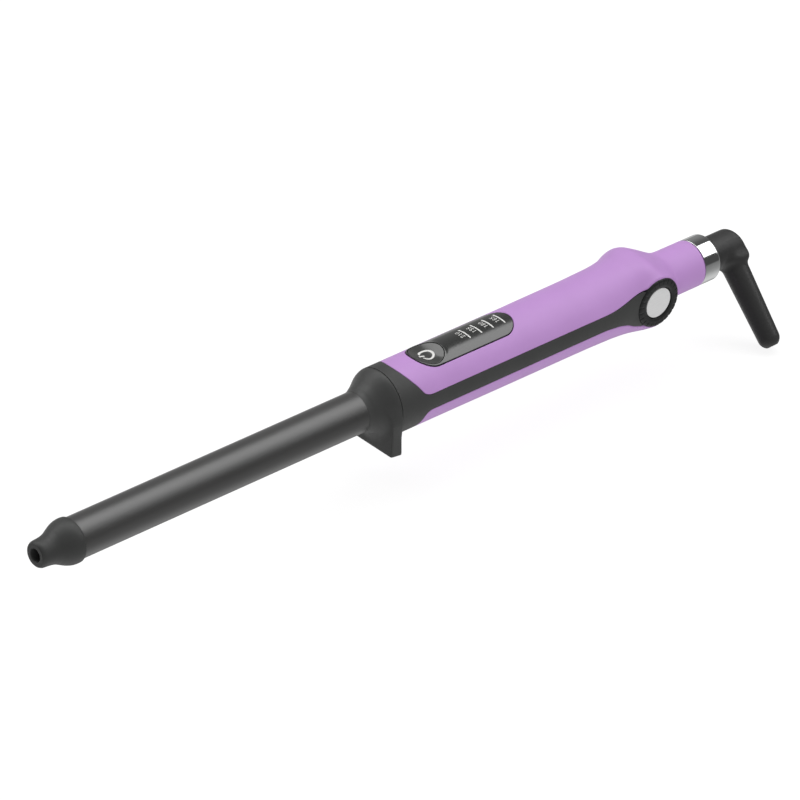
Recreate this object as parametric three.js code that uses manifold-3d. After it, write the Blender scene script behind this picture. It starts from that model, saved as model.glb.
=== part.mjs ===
// Clipless curling wand: heated barrel with a cool tip, heat-shield cone with a
// stand foot, two-tone handle with a control panel and a side dial, and a
// swivelling cord elbow. Millimetres. +X runs from the tip to the cord, +Z up,
// -Y is the side with the dial. The origin is the centre of the foot's flat base.
import * as THREE from 'three';
import { mergeVertices } from 'three/addons/utils/BufferGeometryUtils.js';
import Module from 'manifold-3d';

const wasm = await Module();
wasm.setup();

// ---------------------------------------------------------------- dimensions
const AXIS_X = -0.4;          // the axis pieces' own x = 0 against the middle of the foot
const AXIS_Z = 19.5;          // height of the wand's axis over the foot's base
const GAP = 0.3;              // clearance between neighbouring pieces
const WALL = 2.0;             // shell wall

const BARREL_R = 9.5, BARREL_WALL = 0.8;
const BARREL_X0 = -171.3, BARREL_X1 = -3.6;
const TIP_X0 = -191.6;        // front face of the cool tip

const CONE_X0 = -10.8, CONE_X1 = 2.75;       // heat-shield cone
const FOOT_X0 = -1.95, FOOT_HALF_W = 15.6, FOOT_CORNER = 1.8;

const HANDLE_X0 = 3.05, HANDLE_R = 16.05;    // handle behind the parting line
const NECK_X0 = 176.0, NECK_X1 = 192.2, NECK_R = 11.0;

const STRIP_TOP = 4.95, STRIP_BOT = -2.5;    // side strip, over and under the axis
const PANEL_X0 = 20.9, PANEL_X1 = 79.0, PANEL_HALF_W = 9.1;
const BUTTON_X = 29.9, BUTTON_R = 7.8, BUTTON_TRAVEL = 0.6;

const DIAL_X = 157.6, DIAL_Z = 0.3;          // dial axis, measured from the wand's axis
const DIAL_PAD_R = 12.1, DIAL_R = 11.85, DIAL_BORE_R = 7.8, HUB_R = 7.5;

const RING_X0 = 192.5, RING_X1 = 202.1, RING_R = 10.95;  // chrome swivel ring
const HEAD_X1 = 220.8, HEAD_R = 7.8;         // elbow head
const ARM_X = 215.5, ARM_LEN = 49.8, ARM_R0 = 6.0, ARM_R1 = 4.95;
const ARM_ANGLE = 44.5;                      // degrees from straight down towards -Y
const CORD_BORE_R = 3.1;

const ROUND = 40;             // facets of large round pieces
const SMALL = 20;             // facets of small round pieces

// ------------------------------------------------------------------- helpers
const RAD = Math.PI / 180;

function closedMesh(geometry) {
  const g = geometry.clone();
  g.deleteAttribute('normal');
  if (g.attributes.uv) g.deleteAttribute('uv');
  return mergeVertices(g, 1e-4);
}

function toSolid(geometry) {
  const g = closedMesh(geometry);
  const pos = g.attributes.position.array, idx = g.index.array;
  const tri = [];
  for (let i = 0; i < idx.length; i += 3) {
    const a = idx[i], b = idx[i + 1], c = idx[i + 2];
    if (a !== b && b !== c && a !== c) tri.push(a, b, c);
  }
  let vol = 0;
  for (let i = 0; i < tri.length; i += 3) {
    const [a, b, c] = [tri[i] * 3, tri[i + 1] * 3, tri[i + 2] * 3];
    vol += pos[a] * (pos[b + 1] * pos[c + 2] - pos[b + 2] * pos[c + 1])
         - pos[a + 1] * (pos[b] * pos[c + 2] - pos[b + 2] * pos[c])
         + pos[a + 2] * (pos[b] * pos[c + 1] - pos[b + 1] * pos[c]);
  }
  if (vol < 0) for (let i = 0; i < tri.length; i += 3) { const t = tri[i + 1]; tri[i + 1] = tri[i + 2]; tri[i + 2] = t; }
  return new wasm.Manifold(new wasm.Mesh({ numProp: 3, vertProperties: new Float32Array(pos), triVerts: new Uint32Array(tri) }));
}

function toGeometry(solid) {
  const m = solid.getMesh();
  const g = new THREE.BufferGeometry();
  const n = m.numProp, count = m.vertProperties.length / n;
  const p = new Float32Array(count * 3);
  for (let i = 0; i < count; i++) for (let k = 0; k < 3; k++) p[i * 3 + k] = m.vertProperties[i * n + k];
  g.setAttribute('position', new THREE.BufferAttribute(p, 3));
  g.setIndex(new THREE.BufferAttribute(new Uint32Array(m.triVerts), 1));
  g.computeVertexNormals();
  return g;
}

// monotone cubic through (x, value) knots
function curve(knots) {
  const n = knots.length, xs = knots.map(k => k[0]), ys = knots.map(k => k[1]);
  const d = [], m = new Array(n).fill(0);
  for (let i = 0; i < n - 1; i++) d.push((ys[i + 1] - ys[i]) / (xs[i + 1] - xs[i]));
  for (let i = 1; i < n - 1; i++) m[i] = d[i - 1] * d[i] <= 0 ? 0 : 2 * d[i - 1] * d[i] / (d[i - 1] + d[i]);
  return x => {
    if (x <= xs[0]) return ys[0];
    if (x >= xs[n - 1]) return ys[n - 1];
    let i = 0; while (x > xs[i + 1]) i++;
    const h = xs[i + 1] - xs[i], t = (x - xs[i]) / h, t2 = t * t, t3 = t2 * t;
    return (2 * t3 - 3 * t2 + 1) * ys[i] + (t3 - 2 * t2 + t) * h * m[i] + (3 * t2 - 2 * t3) * ys[i + 1] + (t3 - t2) * h * m[i + 1];
  };
}

// surface of revolution about the wand's axis from (x, r) points
function revolve(points, segments = ROUND) {
  const g = new THREE.LatheGeometry(points.map(([x, r]) => new THREE.Vector2(r, x)), segments);
  g.rotateZ(-Math.PI / 2);
  return g;
}
const ringProfile = points => [...points, points[0]];
// surface of revolution about an axis along -Y through (x, z), points are (depth towards -Y, r)
function revolveY(points, x, z, segments = SMALL) {
  const g = new THREE.LatheGeometry(points.map(([d, r]) => new THREE.Vector2(r, -d)), segments);
  g.translate(x, 0, z);
  return g;
}
// surface of revolution about a vertical axis through (x, y), points are (z, r)
function revolveZ(points, x, y, segments = SMALL) {
  const g = new THREE.LatheGeometry(points.map(([z, r]) => new THREE.Vector2(r, z)), segments);
  g.rotateX(Math.PI / 2);
  g.translate(x, y, 0);
  return g;
}
const shapeOf = pts => new THREE.Shape(pts.map(([a, b]) => new THREE.Vector2(a, b)));
// outline (x, z) extruded along Y from y0 to y1
function prismY(pts, y0, y1) {
  const g = new THREE.ExtrudeGeometry(shapeOf(pts), { depth: y1 - y0, bevelEnabled: false, steps: 1 });
  g.rotateX(Math.PI / 2);
  g.translate(0, y1, 0);
  return g;
}
// outline (x, y) extruded along Z
function prismZ(pts, z0, z1) {
  const g = new THREE.ExtrudeGeometry(shapeOf(pts), { depth: z1 - z0, bevelEnabled: false, steps: 1 });
  g.translate(0, 0, z0);
  return g;
}
// outline (y, z) extruded along X
function prismX(pts, x0, x1) {
  const g = new THREE.ExtrudeGeometry(shapeOf(pts), { depth: x1 - x0, bevelEnabled: false, steps: 1 });
  g.applyMatrix4(new THREE.Matrix4().set(0, 0, 1, x0, 1, 0, 0, 0, 0, 1, 0, 0, 0, 0, 0, 1));
  return g;
}
function box(x0, x1, y0, y1, z0, z1) {
  const g = new THREE.BoxGeometry(x1 - x0, y1 - y0, z1 - z0);
  g.translate((x0 + x1) / 2, (y0 + y1) / 2, (z0 + z1) / 2);
  return g;
}
// box with its upright edges rounded
function chip(x0, x1, y0, y1, z0, z1, r) {
  const pts = [];
  const c = [[x1 - r, y1 - r, 0], [x0 + r, y1 - r, 90], [x0 + r, y0 + r, 180], [x1 - r, y0 + r, 270]];
  for (const [cx, cy, a] of c) for (let k = 0; k <= 3; k++) pts.push([cx + r * Math.cos((a + 30 * k) * RAD), cy + r * Math.sin((a + 30 * k) * RAD)]);
  return prismZ(pts, z0, z1);
}
const circle = (cx, cy, r, n = SMALL) => Array.from({ length: n }, (_, i) => [cx + r * Math.cos(2 * Math.PI * i / n), cy + r * Math.sin(2 * Math.PI * i / n)]);
// round wire along a smooth path
function wire(points, r) {
  const path = new THREE.CatmullRomCurve3(points.map(p => new THREE.Vector3(...p)));
  return new THREE.ExtrudeGeometry(shapeOf(circle(0, 0, r, 6)), { steps: 3 * (points.length - 1), extrudePath: path, bevelEnabled: false });
}

// --------------------------------------------------- outer form of the handle
// half width, height over and under the axis, and the squareness of the section
const halfWidth = curve([[3, 16.05], [159.1, 16.05], [161.6, 15.6], [164.1, 14.8], [166.6, 13.8], [169.1, 12.8], [171.6, 11.9], [174.1, 11.3], [176.4, 11.0], [193, 11.0]]);
const topHeight = curve([[3, 16.05], [96, 16.05], [120, 16.35], [134.1, 16.85], [139.1, 17.0], [141.6, 17.25], [144.1, 17.6], [146.6, 17.9], [149.1, 18.24], [151.6, 18.42], [154.1, 18.4], [156.6, 18.05], [159.1, 16.95], [161.6, 15.6], [164.1, 14.4], [166.6, 13.2], [169.1, 12.1], [171.6, 11.35], [174.1, 11.05], [176.4, 11.0], [193, 11.0]]);
const botHeight = curve([[3, 16.05], [96, 16.05], [120, 16.4], [134.1, 16.85], [141.6, 17.0], [149.1, 17.1], [154.1, 17.3], [156.6, 17.25], [159.1, 16.6], [161.6, 15.5], [164.1, 14.4], [166.6, 13.2], [169.1, 12.1], [171.6, 11.35], [174.1, 11.05], [176.4, 11.0], [193, 11.0]]);
const topPower = curve([[3, 2], [134.1, 2], [139.1, 2.08], [144.1, 2.22], [149.1, 2.55], [154.1, 2.95], [157.1, 3.05], [161.1, 2.85], [165.1, 2.6], [170.1, 2.3], [176.1, 2], [193, 2]]);
const botPower = topPower;

function bodyRadius(x, y, z, inset) {
  const L = Math.hypot(y, z), s = Math.abs(y) / L, c = Math.abs(z) / L;
  const up = z >= 0, n = up ? topPower(x) : botPower(x);
  const w = halfWidth(x) - inset, h = (up ? topHeight(x) : botHeight(x)) - inset;
  return Math.pow(Math.pow(s / w, n) + Math.pow(c / h, n), -1 / n);
}
const STATIONS = [126, 134, 140, 145, 149.5, 153.5, 157, 160, 162.5, 165, 167.5, 170, 172.5, 176.4];
function bodyForm(inset, x0, x1, segments, every = 1) {
  const xs = [x0, ...STATIONS.filter((x, i) => x > x0 + 0.5 && x < x1 - 0.5 && i % every === 0), x1];
  const g = revolve([[x0, 0], ...xs.map(x => [x, 1]), [x1, 0]], segments);
  const p = g.attributes.position;
  for (let i = 0; i < p.count; i++) {
    const x = p.getX(i), y = p.getY(i), z = p.getZ(i), r = Math.hypot(y, z);
    if (r < 0.5) continue;
    const R = bodyRadius(x, y, z, inset);
    p.setXYZ(i, x, y / r * R, z / r * R);
  }
  return toSolid(g);
}

// --------------------------------------------------------------- side outline
// outline (x, z) of the black frame in side view: front ring, strip and dial pad
function arcPts(cx, cz, r, a0, a1, n) {
  return Array.from({ length: n + 1 }, (_, i) => { const a = (a0 + (a1 - a0) * i / n) * RAD; return [cx + r * Math.cos(a), cz + r * Math.sin(a)]; });
}
function frameOutline(grow, front) {
  const g = grow;
  return [
    [front, -22], [9.5 + g, -22], [12.3 + g, -16.2], [14.6 + g, -12.5], [15.9 + g, -9.6], [17.1 + g, -5.6], [18.4 + g, -3.6 - g], [20.6 + g, STRIP_BOT - g],
    [126, STRIP_BOT - g], [134.8, -3.6 - g], [140.5, -5.8 - g], [144.9, -8.6 - g],
    ...arcPts(DIAL_X, DIAL_Z, DIAL_PAD_R + g, 232, 360 + 128, 16),
    [142.2, 7.9 + g], [134.5, 5.7 + g], [126, STRIP_TOP + g],
    [20.2 + g, STRIP_TOP + g], [17.9 + g, 5.6 + g], [16.2 + g, 6.6], [13.6 + g, 10.2], [11.0 + g, 13.3], [9.0 + g, 15.3], [8.0 + g, 16.2], [6.0 + g, 22], [front, 22],
  ];
}

// ------------------------------------------------------------------ materials
const mat = (color, roughness, metalness) => new THREE.MeshStandardMaterial({ color, roughness, metalness });
const group = new THREE.Group();
const wand = new THREE.Group();           // everything measured from the wand's axis
wand.position.set(AXIS_X, 0, AXIS_Z);
group.add(wand);
function add(name, shape, material, parent = wand) {
  const geometry = shape.isBufferGeometry ? toGeometry(toSolid(shape)) : toGeometry(shape);
  const mesh = new THREE.Mesh(geometry, material);
  mesh.name = name;
  parent.add(mesh);
  return mesh;
}

// ---------------------------------------------------------- barrel and heater
add('cool_tip', revolve(ringProfile([
  [TIP_X0, 3.1], [TIP_X0, 5.2], [-191.1, 5.9], [-190.0, 6.3], [-187.0, 6.5], [-184.4, 6.85], [-182.4, 7.42], [-180.2, 8.4],
  [-178.2, 9.35], [-176.2, 10.02], [-174.5, 10.28], [-172.8, 10.12], [-171.6, 9.6], [-171.6, 8.4], [-164.0, 8.4], [-164.0, 1.8], [-181.6, 1.8], [-181.6, 3.1]])), mat(0x2b2c2d, 0.55, 0));

const tipScrew = toSolid(revolve([[-183.7, 0], [-183.7, 1.5], [-183.2, 2.5], [-181.9, 2.75], [-181.9, 1.45], [-157.0, 1.45], [-156.0, 0.6], [-156.0, 0]], SMALL))
  .subtract(toSolid(box(-184, -182.8, -0.3, 0.3, -1.6, 1.6))).subtract(toSolid(box(-184, -182.8, -1.6, 1.6, -0.3, 0.3)));
add('tip_screw', tipScrew, mat(0x8b8d90, 0.35, 1));

add('barrel_end_plug', revolve(ringProfile([[-163.6, 1.8], [-163.6, 8.3], [-157.5, 8.3], [-157.5, 1.8]]), 24), mat(0xa7a9ab, 0.4, 1));
add('barrel_tube', revolve(ringProfile([
  [BARREL_X0, BARREL_R - BARREL_WALL], [BARREL_X0, BARREL_R - 0.2], [BARREL_X0 + 0.3, BARREL_R], [BARREL_X1, BARREL_R], [BARREL_X1, BARREL_R - BARREL_WALL]])), mat(0x4b4d50, 0.38, 0.35));

// half-round heat spreaders with a flat for the heater between them
const spreader = sign => {
  const pts = [];
  const a0 = Math.asin(2.35 / 8.35) / RAD;
  for (let k = 0; k <= 14; k++) { const a = (a0 + (180 - 2 * a0) * k / 14) * RAD; pts.push([8.35 * Math.cos(a), sign * 8.35 * Math.sin(a)]); }
  return toSolid(prismX(sign > 0 ? pts : pts.reverse(), -154.5, -26))
    .subtract(toSolid(box(-160, -20, -1.2, 1.2, sign > 0 ? 2.0 : -4.0, sign > 0 ? 4.0 : -2.0)));
};
add('heat_spreader_upper', spreader(1), mat(0xb4b6b8, 0.4, 1));
add('heat_spreader_lower', spreader(-1), mat(0xb4b6b8, 0.4, 1));
add('ptc_heater', box(-128, -56, -5.4, 5.4, -1.3, 1.3), mat(0xd8d4c8, 0.7, 0));
add('heater_film', toSolid(box(-130, -54, -6.2, 6.2, -2.05, 2.05)).subtract(toSolid(box(-131, -53, -5.7, 5.7, -1.6, 1.6))), mat(0xa8641e, 0.35, 0));
add('thermal_fuse', revolve([[-48, 0], [-48, 0.5], [-47, 0.6], [-46.6, 1.5], [-37.4, 1.5], [-37, 0.6], [-36, 0.5], [-36, 0]], 16), mat(0xc9c3b4, 0.4, 0.6));
add('ntc_sensor', revolve([[-141.4, 0], [-141.1, 0.8], [-140.2, 1.2], [-139.1, 1.2], [-138.2, 0.8], [-137.9, 0]], 16), mat(0x8e2f1c, 0.3, 0));

const heaterLead = y => wire([[-53.2, y * 1.6, 0], [-40, y * 3.4, 0], [-20, y * 3.4, 0], [0, y * 3.2, -0.6], [14, y * 3.2, -1.6], [24, y * 4, -2.2]], 0.75);
add('heater_lead_live', heaterLead(-1), mat(0x7a3a22, 0.5, 0));
add('heater_lead_neutral', heaterLead(1), mat(0x2f4f86, 0.5, 0));

// ------------------------------------------------------- cone, bushing, foot
const footOutline = [
  [-FOOT_HALF_W + 3.0, 1.4], [-FOOT_HALF_W + 1.1, 0], [-FOOT_HALF_W + 0.25, -1.8], [-FOOT_HALF_W, -4],
  ...arcPts(-FOOT_HALF_W + FOOT_CORNER, -AXIS_Z + FOOT_CORNER, FOOT_CORNER, 180, 270, 5),
  ...arcPts(FOOT_HALF_W - FOOT_CORNER, -AXIS_Z + FOOT_CORNER, FOOT_CORNER, 270, 360, 5),
  [FOOT_HALF_W, -4], [FOOT_HALF_W - 0.25, -1.8], [FOOT_HALF_W - 1.1, 0], [FOOT_HALF_W - 3.0, 1.4],
];
const cone = toSolid(revolve([[CONE_X0, 0], [CONE_X0, 9.95], [-9.8, 9.98], [-8.4, 10.2], [-7.2, 10.65], [-5.9, 11.25], [-4.4, 12.05], [-2.9, 13.0], [-1.4, 14.0], [0.1, 14.95], [1.3, 15.55], [2.2, 15.85], [CONE_X1, 15.95], [CONE_X1, 0]]))
  .add(toSolid(prismX(footOutline, FOOT_X0, CONE_X1)))
  .subtract(toSolid(revolve([[CONE_X0 - 1, 0], [CONE_X0 - 1, 9.72], [-6.6, 9.72], [-1.2, 12.1], [0.8, 13.4], [CONE_X1 + 1, 13.4], [CONE_X1 + 1, 0]])));
add('front_cone', cone, mat(0x2d2e2e, 0.6, 0));

add('barrel_bushing', revolve(ringProfile([[-6.0, 9.75], [-0.9, 11.8], [1.0, 13.1], [9.0, 13.1], [9.0, 7.0], [-3.3, 7.0], [-3.3, 9.75]]), 28), mat(0xb9ab8c, 0.6, 0));

// ------------------------------------------------------------- handle pieces
const outer = bodyForm(0, HANDLE_X0, NECK_X1, 48);
const cavity = bodyForm(WALL, HANDLE_X0 - 1, NECK_X1 + 1, 28, 2);
const shellWall = outer.subtract(cavity);
const frameRegion = toSolid(prismY(frameOutline(0, 2), -30, 30));
const frameHole = toSolid(prismY(frameOutline(GAP, 2), -30, 30));

const pad = side => {
  const s = side;
  return toSolid(revolveY([[s * 9.6, 0], [s * 9.6, DIAL_PAD_R], [s * 13.3, DIAL_PAD_R], [s * 13.3, 0]], DIAL_X, DIAL_Z, 40));
};
const padFace = side => toSolid(revolveY([[side * 13.3, 0], [side * 13.3, DIAL_R + GAP], [side * 30, DIAL_R + GAP], [side * 30, 0]], DIAL_X, DIAL_Z, 40));
const padHollow = toSolid(revolveY([[-11.3, 0], [-11.3, 10.4], [11.3, 10.4], [11.3, 0]], DIAL_X, DIAL_Z, 40));
const hubBore = toSolid(revolveY([[-30, 0], [-30, 3.3], [30, 3.3], [30, 0]], DIAL_X, DIAL_Z, SMALL));
const frame = shellWall.intersect(frameRegion)
  .subtract(toSolid(prismY([[134, -30], [180, -30], [180, 30], [134, 30]], -7, 7)))
  .add(pad(1)).add(pad(-1))
  .subtract(padFace(1)).subtract(padFace(-1)).subtract(padHollow).subtract(hubBore);
add('handle_frame', frame, mat(0x2a2b2b, 0.6, 0));

// the upper shell carries the whole neck; the lower shell is a cover that ends under it
const lowerArea = toSolid(prismY([[2, -25], [163.4, -25], [163.4, -14], [163.4, -8.2], [DIAL_X, -2], [DIAL_X - 30, 0], [2, 0]], -30, 30));
const upperCut = toSolid(prismY([[2, -25], [163.7, -25], [163.7, -14], [163.7, -7.9], [DIAL_X, -1.7], [DIAL_X - 30, 0.3], [2, 0.3]], -30, 30));
const stadium = (grow) => [
  ...arcPts(PANEL_X1 - PANEL_HALF_W, 0, PANEL_HALF_W + grow, -90, 90, 12),
  ...arcPts(PANEL_X0 + PANEL_HALF_W, 0, PANEL_HALF_W + grow, 90, 270, 12)];
const panelHole = toSolid(prismZ(stadium(GAP * 0.6), 5, 25));
const boss = (x, y, z0, z1, r) => toSolid(revolveZ([[z0, 0], [z0, r], [z1, r], [z1, 0]], x, y, 16));
const shellBossX = [100, 127];
let upper = shellWall.subtract(frameHole).subtract(upperCut).subtract(panelHole);
for (const x of shellBossX) upper = upper.add(boss(x, 0, -2, 14.6, 3.0).subtract(boss(x, 0, -3, 8, 1.3)));
add('upper_shell', upper, mat(0xbf98d6, 0.45, 0));

let lower = shellWall.subtract(frameHole).intersect(lowerArea);
for (const x of shellBossX) lower = lower.add(boss(x, 0, -14.8, -2.4, 3.4)).subtract(boss(x, 0, -20, -8.2, 2.5)).subtract(boss(x, 0, -20, 0, 1.5));
for (const x of [30, 84]) lower = lower.add(boss(x, -7, -13.2, 4.6, 2.4)).subtract(boss(x, -7, -4, 6, 1.1));
add('lower_shell', lower, mat(0xb48ccb, 0.45, 0));

for (const [name, x] of [['shell_screw_front', shellBossX[0]], ['shell_screw_rear', shellBossX[1]]])
  add(name, toSolid(revolveZ([[-11.0, 0], [-11.0, 2.0], [-10.6, 2.2], [-8.6, 2.2], [-8.6, 1.05], [5.4, 1.05], [5.9, 0.4], [5.9, 0]], x, 0, 16))
    .subtract(toSolid(box(x - 0.25, x + 0.25, -1.4, 1.4, -12, -10.2))).subtract(toSolid(box(x - 1.4, x + 1.4, -0.25, 0.25, -12, -10.2))), mat(0x9a9c9f, 0.35, 1));

// ------------------------------------------------------------- control panel
const lensSkin = bodyForm(-0.1, HANDLE_X0, 100, 48).subtract(bodyForm(1.7, HANDLE_X0 - 1, 101, 28));
const buttonHole = toSolid(prismZ(circle(BUTTON_X, 0, BUTTON_R + 0.25, 36), 0, 30));
add('control_panel', lensSkin.intersect(toSolid(prismZ(stadium(-0.1), 5, 25))).subtract(buttonHole), mat(0x3c3d3d, 0.15, 0));

// round key with a dished face and a stem down to the return dome
const dish = new THREE.SphereGeometry(13.9, 40, 28);
dish.translate(BUTTON_X, 0, 13.8 + 13.9);
const key = toSolid(prismZ(circle(BUTTON_X, 0, BUTTON_R, 36), 12.2, 18))
  .intersect(bodyForm(-0.05, HANDLE_X0, 100, 48)).subtract(toSolid(dish))
  .add(boss(BUTTON_X, 0, 10.4, 12.3, 2.0));
add('power_button', key, mat(0x424342, 0.3, 0));
add('button_dome', revolveZ(ringProfile([[8.4, 2.9], [8.4, 4.1], [8.8, 4.1], [9.7, 2.2], [9.7, 1.0], [9.3, 1.0], [9.3, 1.9]]), BUTTON_X, 0, 20), mat(0x8a8c8a, 0.6, 0));
add('tact_switch', toSolid(chip(BUTTON_X - 2.6, BUTTON_X + 2.6, -2.6, 2.6, 6.9, 8.0, 0.3)).add(boss(BUTTON_X, 0, 7.9, 9.4, 0.65)), mat(0x1d1d1f, 0.5, 0));

const PCB_X0 = 20, PCB_X1 = 94, PCB_Z0 = 4.9, PCB_Z1 = 6.5;
add('control_pcb', toSolid(chip(PCB_X0, PCB_X1, -10.6, 10.6, PCB_Z0, PCB_Z1, 1.2)).subtract(boss(30, -7, 4, 8, 1.5)).subtract(boss(84, -7, 4, 8, 1.5)), mat(0x24523b, 0.5, 0));
for (const [name, x] of [['pcb_screw_front', 30], ['pcb_screw_rear', 84]])
  add(name, toSolid(revolveZ([[-2.5, 0], [-2.5, 0.85], [6.8, 0.85], [6.8, 2.0], [7.7, 1.8], [8.0, 1.2], [8.0, 0]], x, -7, 16)).subtract(toSolid(box(x - 1.2, x + 1.2, -7.22, -6.78, 7.5, 9))), mat(0x9a9c9f, 0.35, 1));
const BAR_X = [53.1, 59.9, 66.9, 73.8];
BAR_X.forEach((x, i) => add(`level_led_${i + 1}`, toSolid(chip(x - 0.9, x + 0.9, -1.6, 1.6, 6.8, 7.7, 0.2)).add(toSolid(chip(x - 0.55, x + 0.55, -1.1, 1.1, 7.6, 8.1, 0.2))), mat(0xe9e7da, 0.3, 0)));
add('microcontroller', chip(40, 47, -3.5, 3.5, 6.8, 8.3, 0.2), mat(0x17181a, 0.45, 0));
add('triac', toSolid(chip(62, 72, -8, -3.6, -1.4, 4.6, 0.4)).add(toSolid(chip(62.6, 71.4, -3.7, -2.9, -4.4, 4.2, 0.2))), mat(0x1b1c1e, 0.45, 0));
add('filter_capacitor', chip(40, 52, 1.5, 8.5, -3.6, 4.6, 0.8), mat(0xc9a24a, 0.45, 0));

// ----------------------------------------------------------------- side dial
const Yaxis = (pts, n = 32) => revolveY(pts, DIAL_X, DIAL_Z, n);
const dial = Yaxis(ringProfile([[13.6, 3.7], [14.2, 3.7], [14.2, DIAL_BORE_R], [16.6, DIAL_BORE_R], [16.6, 10.9], [16.3, 11.5], [15.7, DIAL_R], [13.6, DIAL_R]]), 40);
add('dial_ring', dial, mat(0x232424, 0.5, 0));
add('dial_hub', Yaxis([[8.0, 0], [8.0, 3.0], [14.5, 3.0], [14.5, HUB_R], [15.55, HUB_R], [15.55, 0]], 32), mat(0x2a2b2b, 0.5, 0));
add('hub_badge', Yaxis([[15.85, 0], [15.85, 7.3], [16.05, 7.3], [16.15, 7.2], [16.15, 0]], 32), mat(0xc9cacb, 0.32, 1));
add('hub_retainer', Yaxis(ringProfile([[8.8, 3.3], [8.8, 5.6], [11.0, 5.6], [11.0, 3.3]]), SMALL), mat(0x8b8d90, 0.4, 1));
add('dial_potentiometer', toSolid(chip(DIAL_X - 9.4, DIAL_X - 6.2, -10.9, -7.4, DIAL_Z - 3, DIAL_Z + 3, 0.4)), mat(0x2f5f7a, 0.5, 0));
add('side_cap', Yaxis([[-8.4, 0], [-8.4, 3.0], [-13.6, 3.0], [-13.6, 11.85], [-15.4, 11.85], [-16.0, 11.2], [-16.0, 0]], 32), mat(0x2a2b2b, 0.55, 0));

// --------------------------------------------------------- swivel and elbow
add('swivel_ring', revolve(ringProfile([[RING_X0, 8.2], [RING_X0, 10.7], [192.8, RING_R], [200.9, RING_R], [201.6, 10.75], [RING_X1, 10.1], [RING_X1, 8.2]])), mat(0xe6e7e8, 0.08, 1));
add('swivel_bearing', revolve(ringProfile([[180.5, 5.3], [180.5, 8.6], [195.2, 7.85], [195.2, 5.3]]), 28), mat(0xd9d6cc, 0.5, 0));

const armMatrix = new THREE.Matrix4().makeTranslation(ARM_X, 0, 0)
  .multiply(new THREE.Matrix4().makeRotationX(-ARM_ANGLE * RAD));
function revolveArm(points, segments) {       // points (distance down the arm, r)
  const g = new THREE.LatheGeometry(points.map(([d, r]) => new THREE.Vector2(r, -d)), segments);
  g.rotateX(Math.PI / 2);                      // lathe axis to Z, arm runs to -Z
  g.applyMatrix4(armMatrix);
  return g;
}
// deeper side of the head, where it runs into the arm
const heel = (r, d) => {                      // U outline (y, z), open side over the head's axis
  const a = ARM_ANGLE * RAD, turn = ([p, q]) => [p * Math.cos(a) + q * Math.sin(a), -p * Math.sin(a) + q * Math.cos(a)];
  return [[r, 0], [r, -d + 2.6], [r - 0.7, -d + 1.0], [r - 2.2, -d], [2.2 - r, -d], [0.7 - r, -d + 1.0], [-r, -d + 2.6], [-r, 0]].map(turn).reverse();
};
const heelGeometry = new THREE.ExtrudeGeometry(shapeOf(heel(HEAD_R - 2.3, 5.4)), { depth: 6.9, steps: 1, bevelEnabled: true, bevelThickness: 2.3, bevelSize: 2.3, bevelSegments: 3 });
heelGeometry.applyMatrix4(new THREE.Matrix4().set(0, 0, 1, HEAD_X1 - 8.6, 1, 0, 0, 0, 0, 1, 0, 0, 0, 0, 0, 1));
const elbow = toSolid(revolve([[170.5, 0], [170.5, 3.0], [180.2, 3.0], [180.2, 5.0], [195.6, 5.0], [195.6, HEAD_R - 0.1], [203.0, HEAD_R], [218.4, HEAD_R], [219.7, 7.3], [220.5, 6.4], [HEAD_X1, 5.2], [HEAD_X1, 0]], 32))
  .add(toSolid(revolveArm([[0, 0], [0, 5.3], [8.6, 6.1], [11.8, ARM_R0], [45.6, ARM_R1 + 0.07], [47.4, 4.75], [48.7, 4.3], [49.5, 3.8], [ARM_LEN, 3.5], [ARM_LEN, 0]], 28)))
  .add(toSolid(heelGeometry))
  .subtract(toSolid(revolveArm([[-2.6, 0], [-2.6, CORD_BORE_R], [60, CORD_BORE_R], [60, 0]], 16)))
  .subtract(toSolid(revolve([[160, 0], [160, 2.0], [215.5, 2.0], [215.5, 0]], 16)));
add('elbow_body', elbow, mat(0x262727, 0.5, 0));
add('slip_ring_live', revolve(ringProfile([[172.4, 3.3], [172.4, 4.4], [175.0, 4.4], [175.0, 3.3]]), 20), mat(0xb98a3a, 0.3, 1));
add('slip_ring_neutral', revolve(ringProfile([[176.4, 3.3], [176.4, 4.4], [179.0, 4.4], [179.0, 3.3]]), 20), mat(0xb98a3a, 0.3, 1));
add('spindle_clip', revolve(ringProfile([[179.4, 3.3], [179.4, 4.9], [179.9, 4.9], [179.9, 3.3]]), 16), mat(0x8b8d90, 0.4, 1));
add('contact_block', box(171.6, 179.4, -2.6, 2.6, 6.6, 8.2), mat(0xd9d6cc, 0.5, 0));
const contact = x => prismX([[-1.8, 6.3], [-1.8, 6.0], [-0.8, 4.8], [0.8, 4.8], [1.8, 6.0], [1.8, 6.3], [0.9, 6.3], [0.45, 5.3], [-0.45, 5.3], [-0.9, 6.3]], x - 0.8, x + 0.8);
add('contact_live', contact(173.7), mat(0xc99b56, 0.35, 1));
add('contact_neutral', contact(177.7), mat(0xc99b56, 0.35, 1));
const supplyLead = y => wire([[171.2, y * 1.3, 7.2], [162, y * 2.4, 9], [145, y * 3.4, 11], [120, y * 6, 9], [100, y * 5, 6.4], [95.2, y * 4, 5.8]], 0.75);
add('supply_lead_live', supplyLead(-1), mat(0x7a3a22, 0.5, 0));
add('supply_lead_neutral', supplyLead(1), mat(0x2f4f86, 0.5, 0));

export default group;
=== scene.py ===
import bpy
import math
import numpy as np
from mathutils import Matrix, Vector
from mathutils.geometry import delaunay_2d_cdt


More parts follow.
